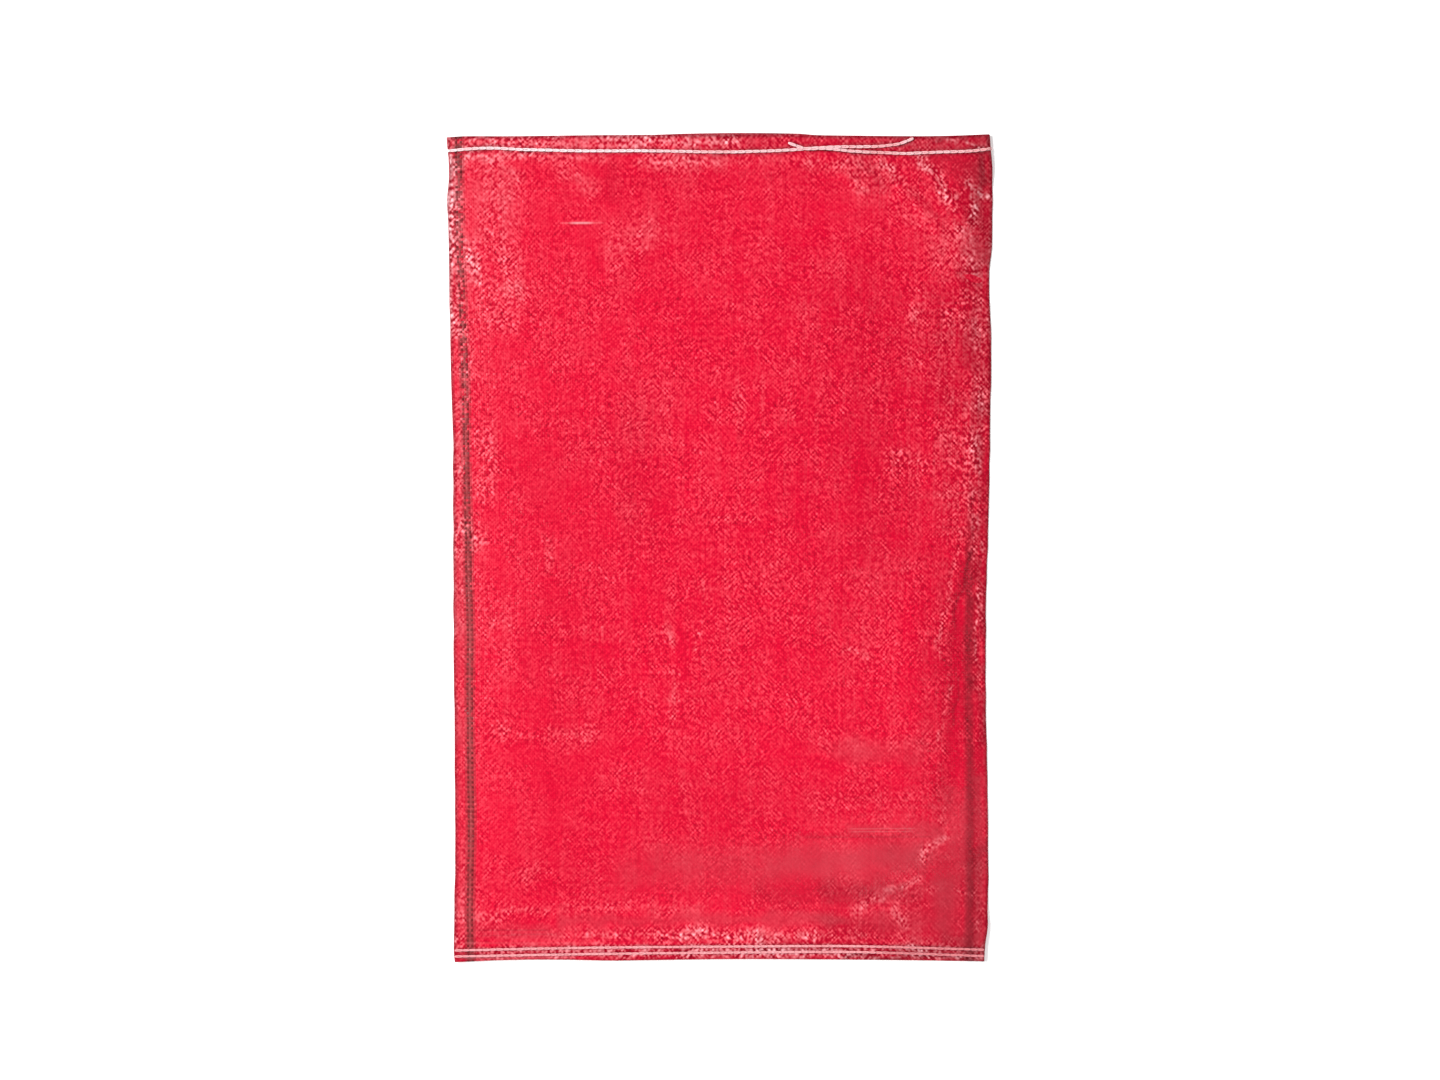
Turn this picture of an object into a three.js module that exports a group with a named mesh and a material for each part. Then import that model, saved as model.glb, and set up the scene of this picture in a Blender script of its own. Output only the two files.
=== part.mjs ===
// A woven polypropylene sack, empty and lying on its back with its mouth towards +Y.
// Millimetres: +X across the sack, +Z up, the origin on the floor under its middle.
import * as THREE from "three";

// Driving dimensions
const wall = 1.0; // thickness of the cloth
const airGap = 0.35; // air between folded layers
const rimY = 422; // fold of the mouth hem, before its waviness
const foldY = -424; // fold of the bottom, before its waviness
const hemDepth = 24; // cloth turned in at the mouth
const flapDepth = 24; // cloth turned under at the bottom
const crest = 16; // most air between the front and the back
const mouthAir = 14; // air in the middle of the mouth
const crownPower = 2.4; // how flat the middle of the bulge is across the sack
// slow unevenness of the front: its height, its wavelengths and the phases of its waves
const swell = { height: 1.3, across: 580, along: 740, acrossPhase: 0.7, alongPhase: -0.6 };
const thread = { height: 1.0, mouthWidth: 2.6, bottomWidth: 2.2, sides: 6, mouthStep: 14, bottomStep: 36 };
const seat = 0.37; // thread to cloth
const floorGap = 0.1; // floor to the thread on the back

// Sizes that follow from them
const twoLayers = 2 * wall + airGap;
const fourLayers = 2 * twoLayers + airGap;
const threadRoom = floorGap + thread.height + seat;
const turnInner = airGap / 2;
const turnOuter = turnInner + twoLayers;
const turnY = foldY + turnOuter;
const turnZ = threadRoom + turnOuter;
const hemEdge = rimY - hemDepth;
const flapReach = flapDepth - turnOuter;

// Where the cloth leaves its flat bed: [start, end] along Y
const hemRamp = [366, hemEdge];
const flapRamp = [-352, foldY + flapDepth];
const bottomRise = [-402, -272];
const mouthFall = [140, hemEdge];
const mouthWaves = [360, rimY];
const bottomWaves = [-350, turnY];

// Side folds of the lying sack
const outline = [
  { up: -426, left: -272.7, right: 272.7 },
  { up: -408, left: -274.0, right: 273.8 },
  { up: -383, left: -273.6, right: 276.6 },
  { up: -280, left: -272.6, right: 277.0 },
  { up: -157, left: -273.7, right: 274.6 },
  { up: -54, left: -274.4, right: 275.1 },
  { up: 30, left: -274.7, right: 277.3 },
  { up: 110, left: -274.9, right: 278.9 },
  { up: 213, left: -277.7, right: 280.2 },
  { up: 275, left: -278.6, right: 278.0 },
  { up: 315, left: -279.2, right: 281.0 },
  { up: 357, left: -280.7, right: 281.4 },
  { up: 388, left: -279.2, right: 281.5 },
  { up: 423, left: -281.4, right: 278.4 },
];

// Waviness of the mouth fold, front and back: the back stands a little further out in the middle
const mouthLine = [
  { across: -282, front: 0.6, back: 0.6 },
  { across: -262, front: 1.5, back: 1.5 },
  { across: -215, front: 1.0, back: 1.0 },
  { across: -113, front: 1.5, back: 1.9 },
  { across: -20, front: 1.8, back: 4.9 },
  { across: 80, front: 1.8, back: 4.7 },
  { across: 115, front: 1.2, back: 1.7 },
  { across: 205, front: 1.0, back: 1.0 },
  { across: 245, front: 2.1, back: 2.1 },
  { across: 280, front: 4.0, back: 4.0 },
];

// Waviness of the bottom fold
const bottomLine = [
  { across: -273, rise: -3.5 },
  { across: -220, rise: -1.2 },
  { across: -164, rise: -0.8 },
  { across: -113, rise: -1.8 },
  { across: -80, rise: -1.4 },
  { across: 10, rise: -0.3 },
  { across: 93, rise: -0.5 },
  { across: 180, rise: -1.2 },
  { across: 272, rise: -2.6 },
];

// Creases of the front: a path of [x, y] points, the height of its line and half its width
const creases = [
  // pleat beside the right fold: a narrow line at the left of a broad sunken strip
  { path: [[259, -10], [246, -60], [243, -120], [240, -225]], rise: -0.9, half: 8, fade: 40 },
  { path: [[263, -5], [259, -110], [257, -220]], rise: -2.0, half: 17, fade: 50 },
  // drag lines from the mouth to the right fold
  { path: [[122, 390], [157, 357]], rise: 1.3, half: 9, fade: 16 },
  { path: [[165, 393], [237, 316]], rise: 1.9, half: 11, fade: 22 },
  { path: [[204, 393], [263, 331]], rise: 1.9, half: 10, fade: 22 },
  // soft waves above the bottom seam and in the lower right
  { path: [[-250, -392], [-165, -399]], rise: -1.0, half: 11, fade: 30 },
  { path: [[20, -300], [225, -290]], rise: -0.9, half: 26, fade: 60 },
  { path: [[115, -366], [220, -306]], rise: 1.1, half: 16, fade: 34 },
];

// Rows along the body: as fine inside as outside where the back bends or a trough runs, and coarser
// elsewhere
const rowBands = [
  { from: bottomRise[0], to: -346, outer: 5, inner: 5 },
  { from: -346, to: -226, outer: 6, inner: 6 },
  { from: -226, to: -10, outer: 12, inner: 12 },
  { from: -10, to: 230, outer: 8, inner: 4 },
  { from: 230, to: 362, outer: 10, inner: 4 },
  { from: 362, to: hemEdge, outer: 4, inner: 4 },
];

// Columns across the front, as shares of its half width: finer towards the pleat and the drag lines
const columnBands = [
  { from: -1, to: 0.44, steps: 12 },
  { from: 0.44, to: 0.8, steps: 8 },
  { from: 0.8, to: 1, steps: 10 },
];
const backColumns = 6;
const sideFoldSteps = 4;
const rimSteps = { outer: 4, inner: 2 };
const turnSteps = { outer: 6, inner: 4 };

// Chain stitch of the mouth: it starts with a free end, runs round the sack and leaves over the rim
const mouthLead = [
  { across: 71, up: 414.8 },
  { across: 88, up: 409.2 },
  { across: 103, up: 409.4 },
  { across: 117, up: 408.8 },
  { across: 131, up: 407.1 },
  { across: 150, up: 406.0 },
  { across: 176, up: 405.3 },
  { across: 192, up: 404.9 },
  { across: 224, up: 406.5 },
  { across: 255, up: 407.8 },
  { across: 281, up: 410.7 },
];
const mouthTail = [
  { across: -281, up: 408.5 },
  { across: -241, up: 410.8 },
  { across: -203, up: 409.0 },
  { across: -142, up: 407.2 },
  { across: -69, up: 406.9 },
  { across: -1, up: 405.7 },
  { across: 42, up: 406.5 },
  { across: 70, up: 407.8 },
  { across: 99, up: 409.9 },
  { across: 122, up: 411.2 },
  { across: 143, up: 411.4 },
  { across: 160, up: 411.8 },
  { across: 173, up: 412.9 },
  { across: 185, up: 414.9 },
  { across: 192, up: 417.4 },
  { across: 199, up: 420.4 },
];
const leadLift = { height: 1.4, from: 170, to: 148 }; // the lead lies over the tail where they cross

// The two rows of chain stitch through the bottom
const bottomRows = [
  { across: -273, upper: -415.1, lower: -421.3 },
  { across: -143, upper: -412.4, lower: -418.9 },
  { across: 0, upper: -411.1, lower: -417.3 },
  { across: 144, upper: -410.8, lower: -416.8 },
  { across: 272, upper: -414.3, lower: -420.8 },
];

const clothMaterial = new THREE.MeshStandardMaterial({ color: 0xea2a44, roughness: 0.5, metalness: 0 });
const threadMaterial = new THREE.MeshStandardMaterial({ color: 0xf6e8e8, roughness: 0.85, metalness: 0 });

// A ramp from 0 at start to 1 at end, level at both.
function ramp(at, [start, end]) {
  const share = THREE.MathUtils.clamp((at - start) / (end - start), 0, 1);
  return THREE.MathUtils.smoothstep(share, 0, 1);
}

// Evenly spaced values from first to last, both included.
function spread(first, last, steps) {
  return Array.from({ length: steps + 1 }, (_, i) => first + ((last - first) * i) / steps);
}

// One column of a table, read by a smooth curve through its rows and held level past its ends.
function readTable(table, key, column, at) {
  const last = table.length - 1;
  if (at <= table[0][key]) return table[0][column];
  if (at >= table[last][key]) return table[last][column];
  const i = table.findIndex((row) => row[key] > at) - 1;
  const slope = (k) => {
    const before = table[Math.max(0, k - 1)];
    const after = table[Math.min(last, k + 1)];
    return (after[column] - before[column]) / (after[key] - before[key]);
  };
  const span = table[i + 1][key] - table[i][key];
  const t = (at - table[i][key]) / span;
  const rise = table[i + 1][column] - table[i][column];
  const bend = slope(i) * span * t * (1 - t) ** 2 - slope(i + 1) * span * t * t * (1 - t);
  return table[i][column] + rise * t * t * (3 - 2 * t) + bend;
}

// Height of one crease at a point: a soft bump round its path that fades towards both ends.
function creaseHeight({ path, rise, half, fade }, x, y) {
  let nearest = Infinity;
  let along = 0;
  let length = 0;
  for (let i = 1; i < path.length; i++) {
    const [ax, ay] = path[i - 1];
    const [bx, by] = path[i];
    const run = Math.hypot(bx - ax, by - ay);
    const dot = ((x - ax) * (bx - ax) + (y - ay) * (by - ay)) / run;
    const on = THREE.MathUtils.clamp(dot, 0, run);
    const away = Math.hypot(x - ax - ((bx - ax) * on) / run, y - ay - ((by - ay) * on) / run);
    if (away < nearest) {
      nearest = away;
      along = length + on;
    }
    length += run;
  }
  if (nearest >= half) return 0;
  const ends = ramp(along, [0, fade]) * ramp(length - along, [0, fade]);
  return rise * ends * (1 - (nearest / half) ** 2) ** 2;
}

// Height of the side folds: two layers, or four where the mouth hem is turned in.
function sideHeight(y) {
  return twoLayers + (fourLayers - twoLayers) * ramp(y, hemRamp);
}

// Outer face of the back: flat on the floor, raised on the mouth stitch and on the bottom flap.
function backHeight(y) {
  return threadRoom * ramp(y, hemRamp) + (turnZ + turnInner) * ramp(y, flapRamp);
}

// The flat part of the sack between its side folds: its middle and its half width.
function flatSpan(y) {
  const left = readTable(outline, "up", "left", y);
  const right = readTable(outline, "up", "right", y);
  return { middle: (left + right) / 2, half: (right - left) / 2 - sideHeight(y) / 2 };
}

// Air between the front and the back: a flat crown, with the creases; ridges stay out of the inner face.
function airHeight(x, y, withRidges) {
  const { middle, half } = flatSpan(y);
  const share = Math.min(1, Math.abs(x - middle) / half);
  const fall = 1 - (1 - mouthAir / crest) * ramp(y, mouthFall);
  const crown = ramp(y, bottomRise) * (1 - share ** crownPower);
  const acrossWave = Math.sin((2 * Math.PI * x) / swell.across + swell.acrossPhase);
  const alongWave = Math.sin((2 * Math.PI * y) / swell.along + swell.alongPhase);
  const wave = swell.height * acrossWave * alongWave * (1 - ramp(y, mouthFall));
  let height = crown * (fall * crest + wave);
  for (const crease of creases) {
    if (withRidges || crease.rise < 0) height += creaseHeight(crease, x, y);
  }
  return Math.max(0, height);
}

// Outer face of the front.
function frontHeight(x, y, withRidges = true) {
  return backHeight(y) + sideHeight(y) + airHeight(x, y, withRidges);
}

// Waviness of the mouth and of the bottom, fading into the body.
function endShift(x, y, face) {
  const atMouth = readTable(mouthLine, "across", face, x) * ramp(y, mouthWaves);
  const atBottom = readTable(bottomLine, "across", "rise", x) * ramp(y, bottomWaves);
  return atMouth + atBottom;
}

// Rows on the body at one depth under the outer face.
function bodyRows(steps, depth) {
  const rows = rowBands.flatMap((band) => spread(band.from, band.to, band[steps]).slice(0, -1));
  return [...rows, rowBands.at(-1).to].map((y) => ({ y, depth }));
}

// The cloth's section along the sack, once round it: up the outer face, over the rim, down the turned-in
// hem, up between hem and wall, down the inner face, and out along the flap.
function sectionLoop() {
  const rimRadius = twoLayers / 2;
  const rimCentre = rimY - rimRadius;
  const hemMiddle = (rimCentre + hemEdge) / 2;
  const rimTurn = (radius, angles) =>
    angles.map((a) => ({ y: rimCentre + radius * Math.sin(a), depth: rimRadius - radius * Math.cos(a) }));
  const turn = (depth, angles) => angles.map((angle) => ({ y: turnY, angle, reach: 0, depth }));
  const flap = (depth, reaches) => reaches.map((reach) => ({ y: turnY, angle: Math.PI, reach, depth }));
  return [
    ...flap(0, [flapReach, flapReach / 2]),
    ...turn(0, spread(Math.PI, 0, turnSteps.outer)),
    ...bodyRows("outer", 0),
    ...rimTurn(rimRadius, spread(0, Math.PI, rimSteps.outer)),
    { y: hemMiddle, depth: twoLayers },
    { y: hemEdge, depth: twoLayers },
    { y: hemEdge, depth: wall + airGap },
    { y: hemMiddle, depth: wall + airGap },
    ...rimTurn(airGap / 2, spread(Math.PI, 0, rimSteps.inner)),
    ...bodyRows("inner", wall).reverse(),
    ...turn(wall, spread(0, Math.PI, turnSteps.inner)),
    ...flap(wall, [flapReach / 2, flapReach]),
  ];
}

// A point of the front or back cloth in one row of the section.
function clothPoint({ y, depth, angle, reach }, x, face) {
  const wavy = y + endShift(x, y, face);
  if (angle === undefined) {
    const front = frontHeight(x, y, depth === 0) - depth;
    return new THREE.Vector3(x, wavy, face === "front" ? front : backHeight(y) + depth);
  }
  const radius = face === "front" ? turnOuter - depth : turnInner + depth;
  return new THREE.Vector3(x, wavy - radius * Math.sin(angle) + reach, turnZ + radius * Math.cos(angle));
}

// Half a turn round a side fold, from one face to the other, ends left out.
function sideFold(from, to, outward) {
  const centre = from.clone().add(to).multiplyScalar(0.5);
  const arm = from.clone().sub(centre);
  const out = new THREE.Vector3(outward * arm.length(), 0, 0);
  return spread(0, Math.PI, sideFoldSteps)
    .slice(1, -1)
    .map((a) => centre.clone().addScaledVector(arm, Math.cos(a)).addScaledVector(out, Math.sin(a)));
}

// One row of the section carried round the sack: front, right fold, back, left fold.
function ringPoints(row) {
  const { middle, half } = flatSpan(row.y);
  const shares = columnBands.flatMap((band) => spread(band.from, band.to, band.steps).slice(0, -1));
  const front = [...shares, 1].map((share) => clothPoint(row, middle + share * half, "front"));
  const back = spread(1, -1, backColumns).map((share) => clothPoint(row, middle + share * half, "back"));
  const rightFold = sideFold(front.at(-1), back[0], 1);
  const leftFold = sideFold(back.at(-1), front[0], -1);
  return [...front, ...rightFold, ...back, ...leftFold];
}

// A closed skin over rings of equal length: joined round the rings, and from the last ring to the first
// or capped.
function ringSkin(rings, closed) {
  const around = rings[0].length;
  const positions = rings.flat().flatMap((point) => point.toArray());
  const index = [];
  const at = (ring, i) => (ring % rings.length) * around + (i % around);
  const joints = closed ? rings.length : rings.length - 1;
  for (let ring = 0; ring < joints; ring++) {
    for (let i = 0; i < around; i++) {
      index.push(at(ring, i), at(ring, i + 1), at(ring + 1, i + 1));
      index.push(at(ring, i), at(ring + 1, i + 1), at(ring + 1, i));
    }
  }
  for (let i = 1; i < around - 1 && !closed; i++) {
    index.push(at(0, 0), at(0, i + 1), at(0, i));
    index.push(at(joints, 0), at(joints, i), at(joints, i + 1));
  }
  const geometry = new THREE.BufferGeometry();
  geometry.setAttribute("position", new THREE.Float32BufferAttribute(positions, 3));
  geometry.setIndex(index);
  geometry.computeVertexNormals();
  return geometry;
}

// A flattened cord along a path of points, each with the direction out of the cloth.
function threadGeometry(path, width) {
  const rings = path.map(({ point, normal }, i) => {
    const before = path[Math.max(0, i - 1)].point;
    const after = path[Math.min(path.length - 1, i + 1)].point;
    const tangent = after.clone().sub(before).normalize();
    const side = normal.clone().cross(tangent).normalize();
    return spread(0, 2 * Math.PI, thread.sides)
      .slice(0, -1)
      .map((a) =>
        point
          .clone()
          .addScaledVector(side, (Math.cos(a) * width) / 2)
          .addScaledVector(normal, (Math.sin(a) * thread.height) / 2),
      );
  });
  return ringSkin(rings, false);
}

const up = new THREE.Vector3(0, 0, 1);
const down = new THREE.Vector3(0, 0, -1);
const standOff = seat + thread.height / 2;

// A row of stitches on the front between two places across the sack.
function frontRow(table, column, step, fromX, toX, lift = () => 0) {
  const steps = Math.ceil(Math.abs(toX - fromX) / step);
  return spread(fromX, toX, steps).map((x) => {
    const y = readTable(table, "across", column, x);
    return { point: new THREE.Vector3(x, y, frontHeight(x, y) + standOff + lift(x)), normal: up };
  });
}

// The stitch round a side fold: outward is 1 on the right and -1 on the left; it turns from front to back.
function foldStitch(y, outward) {
  const near = flatSpan(y);
  const row = y - endShift(near.middle + outward * near.half, y, "front");
  const { middle, half } = flatSpan(row);
  const centre = new THREE.Vector3(middle + outward * half, y, backHeight(y) + sideHeight(y) / 2);
  return spread(0, Math.PI, sideFoldSteps)
    .slice(1, -1)
    .map((a) => {
      const normal = new THREE.Vector3(outward * Math.sin(a), 0, Math.cos(a));
      return { point: centre.clone().addScaledVector(normal, sideHeight(y) / 2 + standOff), normal };
    });
}

// The mouth stitch, from its free end once round the sack to where it leaves over the rim.
function mouthStitch() {
  const rightY = mouthLead.at(-1).up;
  const leftY = mouthTail[0].up;
  const right = flatSpan(rightY);
  const left = flatSpan(leftY);
  const lift = (x) => leadLift.height * ramp(x, [leadLift.from, leadLift.to]);
  const back = spread(0, 1, backColumns).map((share) => {
    const y = THREE.MathUtils.lerp(rightY, leftY, share);
    const x = THREE.MathUtils.lerp(right.middle + right.half, left.middle - left.half, share);
    return { point: new THREE.Vector3(x, y, backHeight(y) - standOff), normal: down };
  });
  return [
    ...frontRow(mouthLead, "up", thread.mouthStep, mouthLead[0].across, right.middle + right.half, lift),
    ...foldStitch(rightY, 1),
    ...back,
    ...foldStitch(leftY, -1).reverse(),
    ...frontRow(mouthTail, "up", thread.mouthStep, left.middle - left.half, mouthTail.at(-1).across),
  ];
}

// A row of the bottom stitch, on the front or under the flap.
function bottomStitch(column, face) {
  const { middle, half } = flatSpan(turnY);
  const front = frontRow(bottomRows, column, thread.bottomStep, middle - half, middle + half);
  if (face === "front") return front;
  return front.map(({ point }) => ({ point: point.clone().setZ(threadRoom - standOff), normal: down }));
}

function addMesh(group, name, geometry, material) {
  const mesh = new THREE.Mesh(geometry, material);
  mesh.name = name;
  group.add(mesh);
}

const sack = new THREE.Group();
addMesh(sack, "sack_body", ringSkin(sectionLoop().map(ringPoints), true), clothMaterial);
addMesh(sack, "mouth_stitch", threadGeometry(mouthStitch(), thread.mouthWidth), threadMaterial);
for (const column of ["upper", "lower"]) {
  for (const face of ["front", "back"]) {
    const path = bottomStitch(column, face);
    const geometry = threadGeometry(path, thread.bottomWidth);
    addMesh(sack, `bottom_stitch_${column}_${face}`, geometry, threadMaterial);
  }
}

export default sack;
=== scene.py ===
import bpy
import math
import numpy as np
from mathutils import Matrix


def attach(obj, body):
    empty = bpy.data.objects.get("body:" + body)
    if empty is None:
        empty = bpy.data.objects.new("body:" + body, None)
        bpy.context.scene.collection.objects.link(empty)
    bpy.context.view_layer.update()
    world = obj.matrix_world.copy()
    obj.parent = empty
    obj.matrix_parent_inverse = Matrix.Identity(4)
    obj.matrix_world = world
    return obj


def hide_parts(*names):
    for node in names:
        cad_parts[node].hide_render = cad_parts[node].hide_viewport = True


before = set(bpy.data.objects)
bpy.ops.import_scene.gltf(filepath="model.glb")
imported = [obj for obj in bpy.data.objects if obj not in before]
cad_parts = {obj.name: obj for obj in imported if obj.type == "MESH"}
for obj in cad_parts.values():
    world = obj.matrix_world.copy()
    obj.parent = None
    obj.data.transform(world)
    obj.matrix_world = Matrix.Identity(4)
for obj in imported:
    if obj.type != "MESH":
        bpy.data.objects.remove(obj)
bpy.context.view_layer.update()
mm = 0.001  # the tables below are in millimetres

# sizes of the cut and folded tube
sackCut = {
    "wall": 0.6, "airGap": 0.25, "threadRoom": 1.2,
    "rimY": 422.0, "foldY": -424.0, "hemDepth": 24.0, "flapDepth": 24.0,
    "crest": 16.0, "mouthAir": 14.0, "crownPower": 2.4,
    "hemRamp": (366.0, 398.0), "flapRamp": (-352.0, -400.0),
    "bottomRise": (-402.0, -272.0), "mouthFall": (140.0, 398.0),
    "mouthWaves": (360.0, 422.0), "bottomWaves": (-350.0, -422.0),
    "swell": {"height": 1.3, "across": 580.0, "along": 740.0, "acrossPhase": 0.7, "alongPhase": -0.6},
}
twoLayers = 2 * sackCut["wall"] + sackCut["airGap"]
fourLayers = 2 * twoLayers + sackCut["airGap"]
turnInner = sackCut["airGap"] / 2
turnOuter = turnInner + twoLayers
turnY = sackCut["foldY"] + turnOuter
turnZ = sackCut["threadRoom"] + turnOuter
hemEdge = sackCut["rimY"] - sackCut["hemDepth"]
flapReach = sackCut["flapDepth"] - turnOuter

# up, left, right: the side folds
sideFolds = np.array([
    (-426, -272.7, 272.7), (-408, -274.0, 273.8), (-383, -273.6, 276.6), (-280, -272.6, 277.0),
    (-157, -273.7, 274.6), (-54, -274.4, 275.1), (30, -274.7, 277.3), (110, -274.9, 278.9),
    (213, -277.7, 280.2), (275, -278.6, 278.0), (315, -279.2, 281.0), (357, -280.7, 281.4),
    (388, -279.2, 281.5), (423, -281.4, 278.4),
])

# across, front, back: waviness of the mouth fold
mouthLine = np.array([
    (-282, 0.6, 0.6), (-262, 1.5, 1.5), (-215, 1.0, 1.0), (-113, 1.5, 1.9), (-20, 1.8, 4.9),
    (80, 1.8, 4.7), (115, 1.2, 1.7), (205, 1.0, 1.0), (245, 2.1, 2.1), (280, 4.0, 4.0),
])

# across, rise: waviness of the bottom fold
bottomLine = np.array([
    (-273, -3.5), (-220, -1.2), (-164, -0.8), (-113, -1.8), (-80, -1.4),
    (10, -0.3), (93, -0.5), (180, -1.2), (272, -2.6),
])

# up, left, right: middles of the two tracer stripes
tracerLines = np.array([
    (-426, -256.4, 257.2), (-362, -256.2, 257.5), (-270, -255.7, 257.3), (-105, -257.3, 256.8),
    (69, -259.8, 259.8), (235, -264.4, 264.2), (306, -267.2, 266.0), (409, -269.2, 267.2),
])

# path, rise, half width, fade at the ends
creases = [
    ([(259, -10), (246, -60), (243, -120), (240, -225)], -0.9, 8, 40),  # pleat: line and sunken strip
    ([(263, -5), (259, -110), (257, -220)], -2.0, 17, 50),
    ([(122, 390), (157, 357)], 1.3, 9, 16),  # drag lines from the mouth to the right fold
    ([(165, 393), (237, 316)], 1.9, 11, 22),
    ([(204, 393), (263, 331)], 1.9, 10, 22),
    ([(-250, -392), (-165, -399)], -1.0, 11, 30),  # soft waves above the bottom seam
    ([(20, -300), (225, -290)], -0.9, 26, 60),
    ([(115, -366), (220, -306)], 1.1, 16, 34),
]
fineCreases = [
    ([(-166, 334.6), (-126, 334.6)], 0.5, 3.5, 12),  # short crossways mark under the mouth
    ([(152, -291), (198, -290)], 0.4, 3.0, 16),  # pressed lines in the lower right
    ([(124, -300), (216, -299)], -0.5, 5.0, 30),
    ([(240, 285), (279, 271)], -0.9, 9.0, 12),  # dent at the right fold
    ([(-262, 20), (-250, -6)], 0.5, 6.0, 10),
    ([(-55, -10), (-50, 220)], -1.4, 60, 80),  # broad trough left of the middle
    ([(205, -50), (212, -285)], 1.8, 55, 60),  # broad swell before the pleat
    ([(30, -292), (228, -284)], 0.8, 14, 40),  # edge of the sunken lower right
]


# S curve from 0 at start to 1 at end, level outside: 3 share^2 - 2 share^3
def ramp(at, start, end):
    share = np.clip((at - start) / (end - start), 0, 1)
    return share * share * (3 - 2 * share)


# smooth curve through one column of a table, slopes from the neighbours, level past both ends
def readCurve(table, column, at):
    keys = table[:, 0]
    values = table[:, column]
    slopes = np.gradient(values, keys, edge_order=1)
    slopes[1:-1] = (values[2:] - values[:-2]) / (keys[2:] - keys[:-2])
    at = np.clip(at, keys[0], keys[-1])
    i = np.clip(np.searchsorted(keys, at, side="right") - 1, 0, len(keys) - 2)
    span = keys[i + 1] - keys[i]
    t = (at - keys[i]) / span
    rise = values[i + 1] - values[i]
    bend = span * (slopes[i] * t * (1 - t) ** 2 - slopes[i + 1] * t * t * (1 - t))
    return values[i] + rise * t * t * (3 - 2 * t) + bend


# distance from each point to a polyline, how far along it the nearest place is, and its whole length
def nearPath(x, y, path):
    nearest = np.full(np.shape(x), np.inf)
    along = np.zeros(np.shape(x))
    length = 0.0
    for (ax, ay), (bx, by) in zip(path[:-1], path[1:]):
        run = math.hypot(bx - ax, by - ay)
        on = np.clip(((x - ax) * (bx - ax) + (y - ay) * (by - ay)) / run, 0, run)
        away = np.hypot(x - ax - (bx - ax) * on / run, y - ay - (by - ay) * on / run)
        closer = away < nearest
        nearest = np.where(closer, away, nearest)
        along = np.where(closer, length + on, along)
        length += run
    return nearest, along, length


# soft bump round a path: (1 - (distance / half)^2)^2 across it, fading towards both ends
def creaseHeight(x, y, path, rise, half, fade):
    away, along, length = nearPath(x, y, path)
    ends = ramp(along, 0, fade) * ramp(length - along, 0, fade)
    return rise * ends * np.clip(1 - (away / half) ** 2, 0, None) ** 2


noiseKnots = 256  # random knots each way before the noise repeats


# value noise: random knots on a square lattice of the given size, joined by S curves, from -1 to 1
def softNoise(x, y, size, seed):
    knots = np.random.default_rng(seed).uniform(-1, 1, (noiseKnots, noiseKnots))
    gx, gy = x / size + noiseKnots / 4, y / size + noiseKnots / 4
    ix, iy = np.floor(gx).astype(int), np.floor(gy).astype(int)
    fx, fy = ramp(gx - ix, 0, 1), ramp(gy - iy, 0, 1)
    ix, iy, jx, jy = (knot % noiseKnots for knot in (ix, iy, ix + 1, iy + 1))
    low = knots[ix, iy] * (1 - fx) + knots[jx, iy] * fx
    high = knots[ix, jy] * (1 - fx) + knots[jx, jy] * fx
    return low * (1 - fy) + high * fy


# directions with their lengths made 1
def unit(vectors):
    return vectors / np.linalg.norm(vectors, axis=-1, keepdims=True)


# rings of points joined round both ways into quads: a point, the next one, and the same two on the next ring
def closedGrid(rows, columns):
    here = np.arange(rows * columns).reshape(rows, columns)
    right = np.roll(here, -1, axis=1)
    corners = [here, right, np.roll(right, -1, axis=0), np.roll(here, -1, axis=0)]
    return np.stack(corners, axis=-1).reshape(-1, 4)


# a smooth mesh object of quads at the origin, with its UV map if one is given
def putMesh(name, points, quads, material, cornerUv=None):
    mesh = bpy.data.meshes.new(name)
    mesh.vertices.add(len(points))
    mesh.vertices.foreach_set("co", np.ascontiguousarray(points * mm, dtype=np.float32).ravel())
    mesh.loops.add(quads.size)
    mesh.loops.foreach_set("vertex_index", quads.astype(np.int32).ravel())
    mesh.polygons.add(len(quads))
    mesh.polygons.foreach_set("loop_start", np.arange(0, quads.size, 4, dtype=np.int32))
    mesh.polygons.foreach_set("use_smooth", np.ones(len(quads), dtype=bool))
    mesh.update(calc_edges=True)
    if cornerUv is not None:
        layer = mesh.uv_layers.new(name="tapeMap")
        layer.uv.foreach_set("vector", cornerUv.astype(np.float32).ravel())
    mesh.materials.append(material)
    piece = bpy.data.objects.new(name, mesh)
    bpy.context.scene.collection.objects.link(piece)
    return piece


# height of the side folds: two layers, or four beside the hem
def sideHeight(y):
    return twoLayers + (fourLayers - twoLayers) * ramp(y, *sackCut["hemRamp"])


# outer face of the back: flat, raised over the mouth stitch and over the bottom flap
def backHeight(y):
    overStitch = sackCut["threadRoom"] * ramp(y, *sackCut["hemRamp"])
    return overStitch + (turnZ + turnInner) * ramp(y, *sackCut["flapRamp"])


# unevenness of the side folds: height, where it fades in and out, size and seed of each fold's noise
foldWander = {
    "height": 0.35, "bottom": (-426, -400), "mouth": (423, 400), "left": (21, 61), "right": (17, 62),
}


# middle and half width of the flat between the side folds: each fold's curve plus its noise
def flatSpan(y):
    uneven = foldWander["height"] * ramp(y, *foldWander["bottom"]) * ramp(y, *foldWander["mouth"])
    left = readCurve(sideFolds, 1, y) + uneven * softNoise(y, 0 * y, *foldWander["left"])
    right = readCurve(sideFolds, 2, y) + uneven * softNoise(y, 0 * y, *foldWander["right"])
    return (left + right) / 2, (right - left) / 2 - sideHeight(y) / 2


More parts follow.
